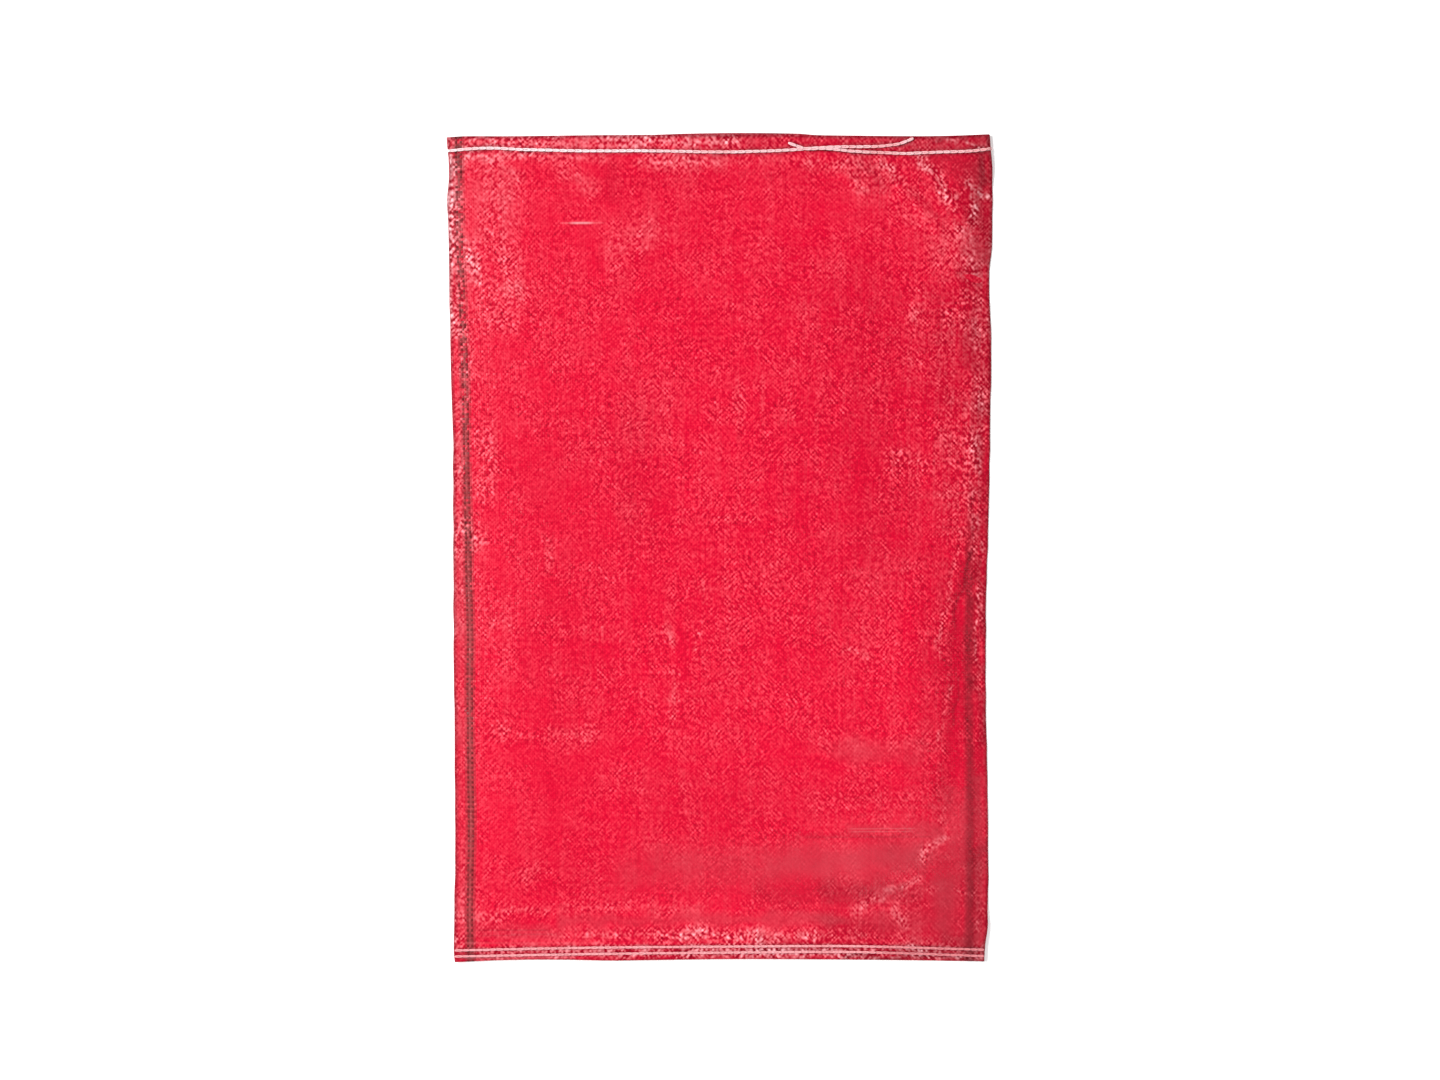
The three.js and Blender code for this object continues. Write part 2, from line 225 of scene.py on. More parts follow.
# crinkle of the front and back cloth
clothCrinkle = {
    "layers": [(120, 0.75, 11), (52, 0.34, 12), (23, 0.16, 13), (10.5, 0.07, 14)],  # size, height, seed
    "coarse": 2,  # how many of the layers the inner face follows
    "edge": 0.07, "sewn": 0.35, "backShare": 0.45,
    "sewnMouth": (380, 400), "sewnBottom": (-380, -402), "rimFade": (421, 408), "turnFade": 12,
}


# layers of noise added up, quiet at the side folds, less where it is sewn, none at the rim and the turn
def crinkle(x, y, share, layers):
    look = clothCrinkle
    quiet = ramp(1 - np.abs(share), 0, look["edge"])
    sewn = np.maximum(ramp(y, *look["sewnMouth"]), ramp(y, *look["sewnBottom"]))
    sewn = 1 - (1 - look["sewn"]) * sewn
    sewn = sewn * ramp(y, turnY, turnY + look["turnFade"]) * ramp(y, *look["rimFade"])
    return quiet * sewn * sum(height * softNoise(x, y, size, seed) for size, height, seed in layers)


# air between front and back: a flat crown with a slow swell, the creases and the crinkle
def airHeight(x, y, share, inner):
    swell = sackCut["swell"]
    wave = np.sin(2 * np.pi * x / swell["across"] + swell["acrossPhase"])
    wave = wave * np.sin(2 * np.pi * y / swell["along"] + swell["alongPhase"])
    falling = ramp(y, *sackCut["mouthFall"])
    crown = ramp(y, *sackCut["bottomRise"]) * (1 - np.abs(share) ** sackCut["crownPower"])
    fall = 1 - (1 - sackCut["mouthAir"] / sackCut["crest"]) * falling
    height = crown * (fall * sackCut["crest"] + swell["height"] * wave * (1 - falling))
    lines = [line for line in creases if not inner or line[1] < 0]
    lines += [] if inner else fineCreases
    height = height + sum(creaseHeight(x, y, *line) for line in lines)
    layers = clothCrinkle["layers"][:clothCrinkle["coarse"]] if inner else clothCrinkle["layers"]
    height = height + crinkle(x, y, share, layers)
    return np.maximum(0, height)


# waviness of the mouth and the bottom, fading into the body; column 1 is the front, 2 the back
def endShift(x, y, column):
    atMouth = readCurve(mouthLine, column, x) * ramp(y, *sackCut["mouthWaves"])
    return atMouth + readCurve(bottomLine, 1, x) * ramp(y, *sackCut["bottomWaves"])


# outer face of the front at any place on it: back, side folds and air added up
def frontHeight(x, y):
    middle, half = flatSpan(y)
    share = np.clip((x - middle) / half, -1, 1)
    return backHeight(y) + sideHeight(y) + airHeight(x, y, share, False)


# rows in each stretch of the section; the inner bends take every second step of the outer ones
sectionSteps = {
    "turn": 18, "body": 260, "mouth": 20, "bend": 9, "hem": 5, "flap": 5,
    "innerBody": 44, "innerEnd": 4, "innerFlap": 4,
}


# the section along the sack, once round: flap, turn, outer face, rim, hem, inner face, turn, flap
# columns: up, depth under the outer face, turned angle, reach along the flap, length of cloth, inner or not
def sectionRows():
    steps, wall, rim = sectionSteps, sackCut["wall"], twoLayers / 2
    rimY = sackCut["rimY"] - rim
    low, high = sackCut["bottomRise"][0], hemEdge
    midTurn = (turnInner + turnOuter) / 2

    # flat rows: each column is one value or a value for each row
    def block(up, depth=0.0, angle=0.0, reach=0.0, cloth=None, inner=0.0):
        cloth = up if cloth is None else cloth
        return np.stack(np.broadcast_arrays(up, depth, angle, reach, cloth, inner), axis=-1)

    # rows of the turn and the flap: their cloth runs on past the bottom by arc and by reach
    def turned(angle, reach, depth, inner):
        return block(turnY, depth, angle, reach, turnY - midTurn * angle - reach, inner)

    bend = np.linspace(np.pi, 0, steps["bend"])
    lip = np.linspace(0, np.pi, steps["bend"])
    outer = np.concatenate([
        np.linspace(turnY, low, steps["turn"])[1:-1],
        np.linspace(low, high, steps["body"]),
        np.linspace(high, rimY, steps["mouth"])[1:-1],
    ])
    inside = np.concatenate([
        np.linspace(rimY, high, steps["innerEnd"])[1:-1],
        np.linspace(high, low, steps["innerBody"]),
        np.linspace(low, turnY, steps["innerEnd"])[1:-1],
    ])
    hem = np.linspace(rimY, hemEdge, steps["hem"])[1:]
    hemCloth = 2 * rimY + np.pi * rim - hem
    return np.concatenate([
        turned(np.pi, np.linspace(flapReach, 0, steps["flap"])[:-1], 0.0, 0.0),
        turned(bend, 0.0, 0.0, 0.0),
        block(outer),
        block(rimY + rim * np.sin(lip), rim - rim * np.cos(lip), cloth=rimY + rim * lip),
        block(hem, twoLayers, cloth=hemCloth),
        block(hem[::-1], wall + sackCut["airGap"], cloth=hemCloth[::-1]),
        block(rimY + turnInner * np.sin(lip[::-2]), rim - turnInner * np.cos(lip[::-2]), inner=1.0),
        block(inside, wall, inner=1.0),
        turned(bend[::-2], 0.0, wall, 1.0),
        turned(np.pi, np.linspace(0, flapReach, steps["innerFlap"])[1:], wall, 1.0),
    ])


# one face of the cloth on all rows: flat rows follow the front or back height, turned rows a half circle
def clothFace(rows, share, column):
    up, depth, angle, reach, _, inner = (rows[:, i:i + 1] for i in range(6))
    middle, half = flatSpan(up)
    x = middle + share * half
    y = up + endShift(x, up, column)
    if column == 1:
        full = airHeight(x, up, share, False)
        air = np.where(inner > 0, np.minimum(airHeight(x, up, share, True), full), full)
        z = backHeight(up) + sideHeight(up) + air - depth
        radius = turnOuter - depth
    else:
        low = clothCrinkle["layers"][:clothCrinkle["coarse"]]
        lift = clothCrinkle["backShare"] * np.abs(crinkle(x, up, share, low))
        z = backHeight(up) + lift + depth
        radius = turnInner + depth
    bent = (angle > 0) | (reach > 0)
    y = np.where(bent, y - radius * np.sin(angle) + reach, y)
    z = np.where(bent, turnZ + radius * np.cos(angle), z)
    return np.stack([x, y, z], axis=-1)


# half a turn round a side fold, from one face to the other: arm times cosine plus outward times sine
def sideTurn(start, end, outward, steps):
    angle = np.linspace(0, np.pi, steps + 1)[1:-1, None]
    centre = (start + end)[:, None] / 2
    arm = start[:, None] - centre
    out = np.linalg.norm(arm, axis=-1, keepdims=True) * np.array([outward, 0.0, 0.0])
    return centre + arm * np.cos(angle) + out * np.sin(angle)


# tapes round the tube, their pitch, and how they wander: share, size and seed of each noise
tapeCount = {
    "acrossPitch": 2.34, "alongPitch": 2.53, "around": 472, "leftTracer": 7.5, "between": 222,
    "warpWander": 0.4, "warpNoise": ((1.0, 90, 31), (0.5, 34, 32)), "warpFade": 0.1,
    "weftWander": 0.5, "weftNoise": (75, 33),
}


# tape numbers on each row: even between the tracers plus noise, carried on evenly round the back
def tapeNumbers(rows, front):
    left, right = (readCurve(tracerLines, i, rows[:, 0:1]) for i in (1, 2))
    x, y, around = front[..., 0], front[..., 1], tapeCount["around"]
    onFront = tapeCount["leftTracer"] + (x - left) / (right - left) * tapeCount["between"]
    fade = ramp(1 - np.abs(np.linspace(-1, 1, front.shape[1])), 0, tapeCount["warpFade"])
    wander = sum(share * softNoise(x, y, size, seed) for share, size, seed in tapeCount["warpNoise"])
    onFront = onFront + tapeCount["warpWander"] * fade * wander
    turn = np.pi * sideHeight(rows[:, 0:1]) / 2 / tapeCount["acrossPitch"]
    step = np.linspace(0, 1, clothGrid["folds"] + 1)[1:-1]
    first, last = onFront[:, :1], onFront[:, -1:]
    onBack = last + turn + (first + around - last - 2 * turn) * np.linspace(0, 1, clothGrid["back"])
    leftFold = first + around - turn * (1 - step)
    return np.concatenate([onFront, last + turn * step, onBack, leftFold, first + around], axis=1)


# soft patches on the front: x0, y0, x1, y1, half width, strength
# here the tapes get painted glints and sheen with some scuff whitening, or less of them where the strength is
# minus
glintAndScuffPatches = [
    (-276, 400, -273, 300, 15, 0.96), (-272, 300, -270, 224, 15, 0.76), (-264, 224, -260, 150, 11, 0.46),
    (-267, 150, -266, 0, 11, 0.53), (-264, 0, -262, -390, 11, 0.35), (-262, 312, -250, 280, 15, 0.74),
    (-261, 26, -252, 6, 13, 0.86), (-236, 385, -222, 244, 34, 0.47), (-232, 402, -208, 380, 9, 0.60),
    (-242, 108, -238, 60, 20, 0.48), (-262, 402, -192, 403, 9, 0.80), (-200, 400, -120, 400, 8, 0.52),
    (-160, 388, -132, 370, 13, 0.42), (-110, 300, -62, 324, 26, 0.34), (-277, 416, -123, 416, 10, 0.71),
    (-123, 416, 16, 417, 11, 0.84), (16, 417, 64, 417, 10, 0.26), (64, 417, 128, 416, 10, 0.32),
    (128, 416, 192, 416, 10, 0.20), (160, 411, 205, 410, 5, 0.40), (192, 416, 274, 415, 10, 0.26),
    (233, 419, 244, 417, 4, 0.66), (256, 417, 269, 411, 4, 0.76), (-60, -322, 60, -322, 22, 0.07),
    (-78, 396, 2, 397, 12, 0.60), (2, 398, 92, 398, 7, 0.32), (92, 396, 140, 393, 12, 0.54),
    (122, 395, 150, 366, 8, 0.52), (166, 395, 186, 377, 8, 0.80), (196, 366, 240, 312, 9, 0.28),
    (206, 400, 240, 362, 10, 0.78), (222, 386, 240, 348, 10, 0.84), (236, 390, 256, 384, 9, 0.16),
    (240, 336, 257, 320, 9, 0.64), (256, 373, 277, 362, 6, 0.88), (258, 378, 261, 340, 5, 0.86),
    (261, 340, 259, 300, 6, 0.62), (258, 324, 265, 276, 10, 0.62), (246, 330, 260, 270, 18, 0.46),
    (170, 380, 255, 300, 34, 0.38), (202, 236, 212, 262, 11, 0.44), (236, 244, 254, 256, 14, 0.46),
    (226, 160, 250, 256, 22, 0.32), (266, 254, 267, 112, 12, 0.50), (266, 110, 267, 70, 7, 0.72),
    (260.5, 116, 260.5, 22, 6, 0.68), (262, 22, 264, -13, 7, 0.44), (256, 140, 256, 56, 12, 0.46),
    (222, 190, 242, 40, 40, 0.26), (184, 92, 262, 78, 20, 0.36), (205, 90, 215, 80, 14, 0.38),
    (45, 172, 44, 148, 7, 0.30), (20, 170, 20, 112, 7, 0.22), (10, 28, 42, 28, 7, 0.26),
    (-176, 6, -177, -24, 6, 0.46), (-156, -18, -154, -34, 5, 0.26), (-235, -78, -185, -80, 11, 0.36),
    (-172, -84, -112, -86, 13, 0.36), (-54, -82, -48, -98, 6, 0.55), (-20, -86, -25, -104, 6, 0.58),
    (-16, -38, -12, -54, 6, 0.42), (-46, -128, -50, -172, 6, 0.44), (130, -104, 152, -112, 7, 0.40),
    (-235, -190, -130, -192, 13, 0.36), (-26, -216, -12, -230, 9, 0.28), (243, -7, 237, -48, 4, 0.40),
    (237, -48, 227, -85, 4, 0.46), (227, -85, 225, -114, 4, 0.44), (239, -138, 233, -157, 4, 0.48),
    (233, -157, 227, -196, 4, 0.44), (248, 18, 246, -10, 5, 0.48), (264, 28, 262, 10, 5, 0.50),
    (272, 6, 273, -8, 3, 0.60), (258.5, -24, 258.5, -34, 2.5, 0.62), (268, -31, 264.5, -85, 2.2, 0.62),
    (264.5, -85, 265.5, -118, 2.2, 0.46), (269, -15, 268, -75, 5, 0.34), (105, -200, 200, -204, 16, 0.16),
    (-170, 70, -170, -70, 58, -0.18), (-170, -180, -170, -300, 50, -0.12),
    (231, -334, 232, -346, 13, -0.50), (254, -20, 246, -60, 7, -0.50), (246, -60, 245, -150, 7, -0.50),
    (245, -150, 240, -230, 7, -0.45), (100, -262, 225, -258, 20, 0.18), (150, -277, 228, -279, 7, 0.26),
    (86, 335, 80, 250, 15, 0.18), (88, 20, 92, -8, 14, -0.40), (-118, 40, -112, 12, 15, -0.40),
    (-118, 374, -112, 352, 15, -0.30), (50, -400, 54, -405, 10, -0.30), (138, -376, 150, -369, 8, 0.46),
    (153, -364, 164, -359, 6, 0.44), (174, -353, 178, -350, 4, 0.46), (186, -350, 203, -340, 5, 0.50),
    (208, -319, 223, -305, 6, 0.60), (223, -305, 233, -298, 6, 0.60), (217, -352, 234, -346, 5, 0.60),
    (234, -347, 262, -357, 4, 0.56), (180, -374, 193, -389, 6, 0.48), (268, -330, 268, -395, 5, 0.22),
    (252, -330, 256, -345, 5, 0.36), (-272, -376, -228, -381, 13, 0.58),
    (-230, -374, -20, -371, 10, 0.30), (-200, -336, -178, -332, 10, 0.26),
    (-218, -377, -180, -374, 8, 0.50), (-276, -398, -204, -398, 10, 0.30),
    (-204, -398, -136, -398, 9, 0.26), (-248, -60, -247, -380, 12, 0.12),
    (-136, -398, -60, -398, 10, 0.56), (-60, -399, -20, -399, 12, 0.76), (-20, -400, 60, -400, 11, 0.79),
    (60, -400, 100, -401, 10, 0.68), (100, -401, 150, -402, 8, 0.40), (150, -402, 250, -402, 7, 0.16),
    (-272, -406, -228, -422, 12, 0.60), (-228, -416, -130, -415, 9, 0.66), (-130, -416, 0, -415, 9, 0.80),
    (0, -415, 130, -415, 8, 0.80), (130, -415, 225, -415, 8, 0.66), (225, -415, 272, -416, 8, 0.40),
    (-100, -421, 130, -420, 4, 0.73), (130, -421, 268, -422, 4, 0.66),
]
# the same columns: where the cloth is pressed smooth, with a calmer weave, painted a darker, greyer red with
# a little painted sheen
pressedShadeSheenPatches = [
    (-60, -325, 60, -326, 24, 0.66), (60, -325, 150, -323, 24, 1.00), (150, -319, 206, -315, 23, 0.98),
    (222, -316, 240, -345, 17, 0.50), (230, -350, 232, -392, 18, 0.85), (254, -250, 254, -420, 7, 0.80),
    (268, -240, 268, -400, 6, 0.60), (-267, -20, -266, -200, 7, 0.90), (-266, -200, -265, -400, 7, 0.46),
    (-244, -395, -168, -400, 11, 0.75), (240, -255, 245, -330, 13, 0.60),
    (150, -386, 220, -384, 14, 0.50), (44, -383, 128, -383, 9, 0.80), (-165, -385, 44, -384, 8, 0.66),
    (136, -287, 218, -287, 7, 0.60), (203, -290, 224, -298, 12, 0.70), (126, -208, 200, -210, 15, 0.60),
    (226, 398, 258, 383, 18, 0.30), (-90, -332, 40, -332, 26, 0.45), (60, -350, 200, -350, 30, 0.22),
]
# the same columns: painted shade, darker in creases, at the pleat, the folds and the dim right side, with
# some soil
shadeAndSoilPatches = [
    (271, 410, 271, 296, 9, 0.46), (272, 296, 272, 130, 12, 0.30), (270.5, 116, 270, 0, 9, 0.34),
    (268, 412, 270, 340, 30, 0.36), (267, -10, 267, -205, 8, 0.42), (246, -20, 243, -230, 7, 0.15),
    (267, -205, 267, -318, 10, 0.25), (267, -318, 268, -424, 14, 0.42), (222, -372, 262, -340, 60, 0.26),
    (180, -318, 214, -320, 20, 0.16), (231, -326, 236, -348, 18, 0.22), (120, -396, 250, -390, 30, 0.28),
    (45, -358, 150, -358, 18, 0.15), (-100, -401, 100, -401, 9, 0.07), (100, -258, 220, -254, 26, 0.05),
    (40, -408, 272, -408, 15, 0.20), (205, -412, 274, -402, 26, 0.36), (-276, 400, -274, 300, 10, 0.14),
    (-272, 300, -268, -424, 12, 0.08), (-280, 418, 0, 419, 10, 0.06), (0, 417, 190, 417, 12, 0.18),
    (190, 416, 280, 416, 13, 0.28), (274, 420, 276, 412, 5, 0.52), (220, 417, 228, 418, 4, 0.46),
    (247, 418, 253, 416, 4, 0.46), (268, 402, 272, 374, 9, 0.58), (150, 394, 170, 378, 14, 0.18),
    (120, 397, 262, 395, 6, 0.10), (210, 400, 252, 384, 14, 0.16), (230, 399, 262, 396, 6, 0.26),
    (-112, 388, -108, 362, 14, 0.10), (-88, 130, -84, 20, 36, 0.06), (232, 250, 236, 150, 30, 0.16),
    (240, 130, 242, 10, 26, 0.10), (218, 0, 220, -200, 22, 0.08), (80, -297, 220, -297, 3, 0.12),
    (152, 240, 160, 10, 62, 0.08), (214, -240, 230, -330, 40, 0.07), (-250, -394, -165, -399, 8, 0.02),
    (170, -392, 190, -420, 16, 0.22), (232, -404, 270, -412, 16, 0.44), (-170, 80, -170, -330, 62, 0.05),
    (-60, -262, 60, -262, 46, 0.06), (258.5, -3, 251, -38, 2.2, 0.44), (251, -38, 243, -66, 2.2, 0.44),
    (243, -66, 241, -85, 2.2, 0.36), (247, -132, 245, -157, 2.2, 0.40), (245, -157, 240, -184, 2.2, 0.36),
    (265.5, -30, 261.5, -66, 2.6, 0.40), (262, 190, 261, 120, 5, 0.24), (258, 300, 258, 190, 15, 0.28),
    (264, 320, 268, 272, 12, 0.38), (234, -20, 230, -220, 9, 0.14), (130, -422, 270, -423, 5, 0.48),
    (-100, -422, 130, -422, 5, 0.14), (100, 130, 120, -60, 60, 0.03), (261.5, -66, 256, -105, 2.6, 0.32),
    (110, -352, 205, -358, 18, 0.30), (263, 20, 262, -85, 4, 0.28), (232, -225, 224, -305, 14, 0.17),
    (196, 396, 240, 345, 5, 0.16),
]


# kinds of wear and painted light: raggedness of the patches, seed, and the share of the painted shade lines
# at folds and seams
wearAndLightKinds = {
    "glintAndScuff": {"patches": glintAndScuffPatches, "ragged": 4.0, "seed": 41, "lines": 0.0},
    "pressedShadeSheen": {"patches": pressedShadeSheenPatches, "ragged": 5.0, "seed": 43, "lines": 0.0},
    "shadeAndSoil": {"patches": shadeAndSoilPatches, "ragged": 5.0, "seed": 45, "lines": 1.0},
}
# edges of the patches: noise that makes them ragged, less on narrow ones, and spread past the half width
patchEdge = {"noiseSize": 14, "leastRagged": 0.3, "raggedFrom": 10, "spread": 1.35}
backMarks = {"share": 0.3, "size": 55, "seedStep": 4}  # noise off the front; its seed follows the patches'


# strongest patch plus strongest clean patch: (1 - (distance / spread)^2)^2 times strength, ragged by noise
def patchWeight(x, y, kind):
    size, seed = patchEdge["noiseSize"], kind["seed"]
    shiftX, shiftY = (kind["ragged"] * softNoise(x, y, size, seed + i) for i in (0, 1))
    most, least = np.zeros(np.shape(x)), np.zeros(np.shape(x))
    for x0, y0, x1, y1, half, strength in kind["patches"]:
        loose = min(1.0, patchEdge["leastRagged"] + half / patchEdge["raggedFrom"])
        away, _, _ = nearPath(x + loose * shiftX, y + loose * shiftY, [(x0, y0), (x1, y1)])
        weight = strength * np.clip(1 - (away / (patchEdge["spread"] * half)) ** 2, 0, None) ** 2
        most, least = np.maximum(most, weight), np.minimum(least, weight)
    return np.clip(most + least, -1, 1)


# columns of the cloth, and how much closer they stand towards the side folds
clothGrid = {"front": 196, "back": 44, "folds": 7, "gather": 0.35}
# painted shade: dark lines at the folds and beside the seams
foldAndSeamShade = {
    "fold": 0.52, "reach": 3.8, "turn": 0.45, "rimInset": 1.0, "turnInset": 0.5,
    "mouth": 0.50, "mouthReach": 6.5, "mouthUneven": 0.5, "mouthNoise": (5.5, 51),
    "bottom": 0.56, "bottomReach": 4.6,
}


# how near each point is to a side fold or the rim, 1 on it and 0 past the reach; the bottom turn counts less;
# this sets the painted shade at the folds
def foldLine(rows, x):
    up, angle = rows[:, 0:1], rows[:, 2:3]
    middle, half = flatSpan(up)
    side = half - np.abs(x - middle)
    away = np.minimum(side, sackCut["rimY"] - foldAndSeamShade["rimInset"] - up)
    turn = foldAndSeamShade["turn"] * (1 - ramp(up - turnY - foldAndSeamShade["turnInset"], 0, foldAndSeamShade["reach"]))
    return np.maximum(1 - ramp(away, 0, foldAndSeamShade["reach"]), np.where(angle > 0, foldAndSeamShade["turn"], turn))


# shade beside the sewn lines: (1 - (distance / reach)^2)^2 each, uneven at the mouth, summed at the bottom
def sewnLine(x, y):
    def near(away, reach):
        return np.clip(1 - (away / reach) ** 2, 0, None) ** 2

    tail = np.where(x < mouthTail[-1, 0], np.abs(y - readCurve(mouthTail, 1, x)), np.inf)
    lead = np.where(x > mouthLead[0, 0], np.abs(y - readCurve(mouthLead, 1, x)), np.inf)
    uneven = 1 + foldAndSeamShade["mouthUneven"] * softNoise(x, y, *foldAndSeamShade["mouthNoise"])
    mouth = foldAndSeamShade["mouth"] * near(np.minimum(tail, lead), foldAndSeamShade["mouthReach"]) * uneven
    rows = sum(near(y - readCurve(bottomRows, i, x), foldAndSeamShade["bottomReach"]) for i in (1, 2))
    return mouth + foldAndSeamShade["bottom"] * np.minimum(rows, 1)


# UV corners in tape numbers: round by tape, along by length of cloth plus noise, closed at the left fold
def tapeCorners(rows, front):
    u = tapeNumbers(rows, front)
    length = rows[:, 4:5] / tapeCount["alongPitch"] + 0 * u
    wander = softNoise(front[..., 0], front[..., 1], *tapeCount["weftNoise"])
    length[:, :clothGrid["front"]] += tapeCount["weftWander"] * wander
    length[:, -1] = length[:, 0]
    uv = np.stack([u, length], axis=-1)
    uv = np.concatenate([uv, uv[-1:]], axis=0)
    return np.stack([uv[:-1, :-1], uv[:-1, 1:], uv[1:, 1:], uv[1:, :-1]], axis=2).reshape(-1, 2)


# each kind of wear and painted light on every point: patches on the front, noise elsewhere, with the lines
# that belong to it
def markWearAndLight(piece, rows, rings):
    x, y = rings[..., 0], rings[..., 1]
    outer = (rows[:, 5] == 0)[:, None]
    onFront = outer & (np.arange(rings.shape[1]) < clothGrid["front"])
    # painted shade lines at the folds and beside the seams
    lines = np.maximum(foldAndSeamShade["fold"] * foldLine(rows, x), np.where(onFront, sewnLine(x, y), 0))
    for name, kind in wearAndLightKinds.items():
        noise = softNoise(x, y, backMarks["size"], kind["seed"] + backMarks["seedStep"])
        weight = np.where(onFront, patchWeight(x, y, kind), backMarks["share"] * np.clip(noise, 0, 1))
        weight = 1 - (1 - weight) * (1 - kind["lines"] * lines)
        layer = piece.data.attributes.new(name, "FLOAT", "POINT")
        layer.data.foreach_set("value", weight.astype(np.float32).ravel())


# the cloth: the section carried round front, right fold, back and left fold
def makeCloth(material):
    rows = sectionRows()
    even = np.linspace(-1, 1, clothGrid["front"])
    front = clothFace(rows, even + clothGrid["gather"] * np.sin(np.pi * even) / np.pi, 1)
    back = clothFace(rows, np.linspace(1, -1, clothGrid["back"]), 2)
    rightTurn = sideTurn(front[:, -1], back[:, 0], 1, clothGrid["folds"])
    leftTurn = sideTurn(back[:, -1], front[:, 0], -1, clothGrid["folds"])
    rings = np.concatenate([front, rightTurn, back, leftTurn], axis=1)
    count, around = rings.shape[:2]
    quads = closedGrid(count, around)
    piece = putMesh("sackCloth", rings.reshape(-1, 3), quads, material, tapeCorners(rows, front))
    markWearAndLight(piece, rows, rings)
    print("cloth rows", count, "columns", around, "triangles", 2 * len(quads))
    return piece


# across, up: the mouth stitch from its free end to the right fold, and from the left fold to the rim
mouthLead = np.array([
    (71, 414.8), (88, 409.2), (103, 409.4), (117, 408.8), (131, 407.1), (150, 406.0), (176, 405.3),
    (192, 404.9), (224, 406.5), (255, 407.8), (281, 410.7),
])
mouthTail = np.array([
    (-281, 408.5), (-241, 410.8), (-203, 409.0), (-142, 407.2), (-69, 406.9), (-1, 405.7), (42, 406.5),
    (70, 407.8), (99, 409.9), (122, 411.2), (143, 411.4), (160, 411.8), (173, 412.9), (185, 414.9),
    (192, 417.4), (199, 420.4),
])
# across, upper row, lower row of the bottom stitch
bottomRows = np.array([
    (-273, -415.1, -421.3), (-143, -412.4, -418.9), (0, -411.1, -417.3), (144, -410.8, -416.8),
    (272, -414.3, -420.8),
])
# spread: half a loop's width; flat and high: half sizes of the thread; lift: rise of a loop's far end
stitchLook = {
    "mouth": {"pitch": 7.6, "spread": 1.00, "flat": 0.86, "high": 0.42, "lift": 0.22, "seed": 71},
    "bottom": {"pitch": 7.0, "spread": 0.80, "flat": 0.66, "high": 0.34, "lift": 0.18, "seed": 72},
    "lap": 1.3, "turns": 12, "sides": 5, "seat": 0.05, "crossing": 1.1, "crossFrom": 170, "crossTo": 148,
    "sizeJitter": 0.08, "sideJitter": 0.12, "pinch": 0.15,
    "frontPoints": 240, "backPoints": 120, "foldPoints": 12,
}


# a row on the front from one place across to another, its points on the cloth and its directions out of it
def frontRow(table, column, fromX, toX):
    x = np.linspace(fromX, toX, stitchLook["frontPoints"])
    y = readCurve(table, column, x)
    points = np.stack([x, y, frontHeight(x, y)], axis=-1)
    return points, np.broadcast_to([0.0, 0.0, 1.0], points.shape)


# a row round a side fold from front to back at one height up the sack: a half circle
def foldRow(y, outward):
    middle, half = flatSpan(np.array(y))
    middle, half = flatSpan(y - endShift(middle + outward * half, y, 1))
    angle = np.linspace(0, np.pi, stitchLook["foldPoints"])[1:-1]
    normal = np.stack([outward * np.sin(angle), 0 * angle, np.cos(angle)], axis=-1)
    centre = np.array([middle + outward * half, y, backHeight(y) + sideHeight(y) / 2])
    return centre + normal * sideHeight(y) / 2, normal


# chain stitch along a path: each stitch a flattened closed loop whose far end rides over the next one
def chainStitch(name, points, normals, look, material):
    rng = np.random.default_rng(look["seed"])
    station = np.concatenate([[0], np.cumsum(np.linalg.norm(np.diff(points, axis=0), axis=1))])
    count = int(round(station[-1] / look["pitch"]))
    pitch = station[-1] / count
    turn = np.linspace(0, 2 * np.pi, stitchLook["turns"], endpoint=False)
    size = 1 + stitchLook["sizeJitter"] * rng.uniform(-1, 1, (count, 1))
    reach = stitchLook["lap"] / 2 * pitch * np.cos(turn)
    at = (np.arange(count)[:, None] + 0.5) * pitch - reach * size
    pinch = 1 - stitchLook["pinch"] * (1 + np.cos(turn))
    across = look["spread"] * np.sin(turn) * pinch * size
    across = across + stitchLook["sideJitter"] * rng.uniform(-1, 1, (count, 1))
    height = stitchLook["seat"] + look["high"] + look["lift"] * (1 - np.cos(turn)) / 2 + 0 * at

    # values of the path read at the stations of the loops
    def along(values):
        return np.stack([np.interp(at, station, values[:, i]) for i in range(3)], axis=-1)

    normal = unit(along(normals))
    side = unit(np.cross(normal, along(np.gradient(points, axis=0))))
    centre = along(points) + side * across[..., None] + normal * height[..., None]
    tangent = unit(np.roll(centre, -1, axis=1) - np.roll(centre, 1, axis=1))
    outward = unit(np.cross(tangent, normal))
    over = np.cross(outward, tangent)
    ring = np.linspace(0, 2 * np.pi, stitchLook["sides"], endpoint=False)[:, None]
    tube = centre[:, :, None] + look["flat"] * np.cos(ring) * outward[:, :, None]
    tube = tube + look["high"] * np.sin(ring) * over[:, :, None]
    loop = closedGrid(stitchLook["turns"], stitchLook["sides"])
    first = np.arange(count)[:, None, None] * stitchLook["turns"] * stitchLook["sides"]
    piece = putMesh(name, tube.reshape(-1, 3), (loop + first).reshape(-1, 4), material)
    print(name, "stitches", count, "pitch", round(pitch, 2))
    return piece


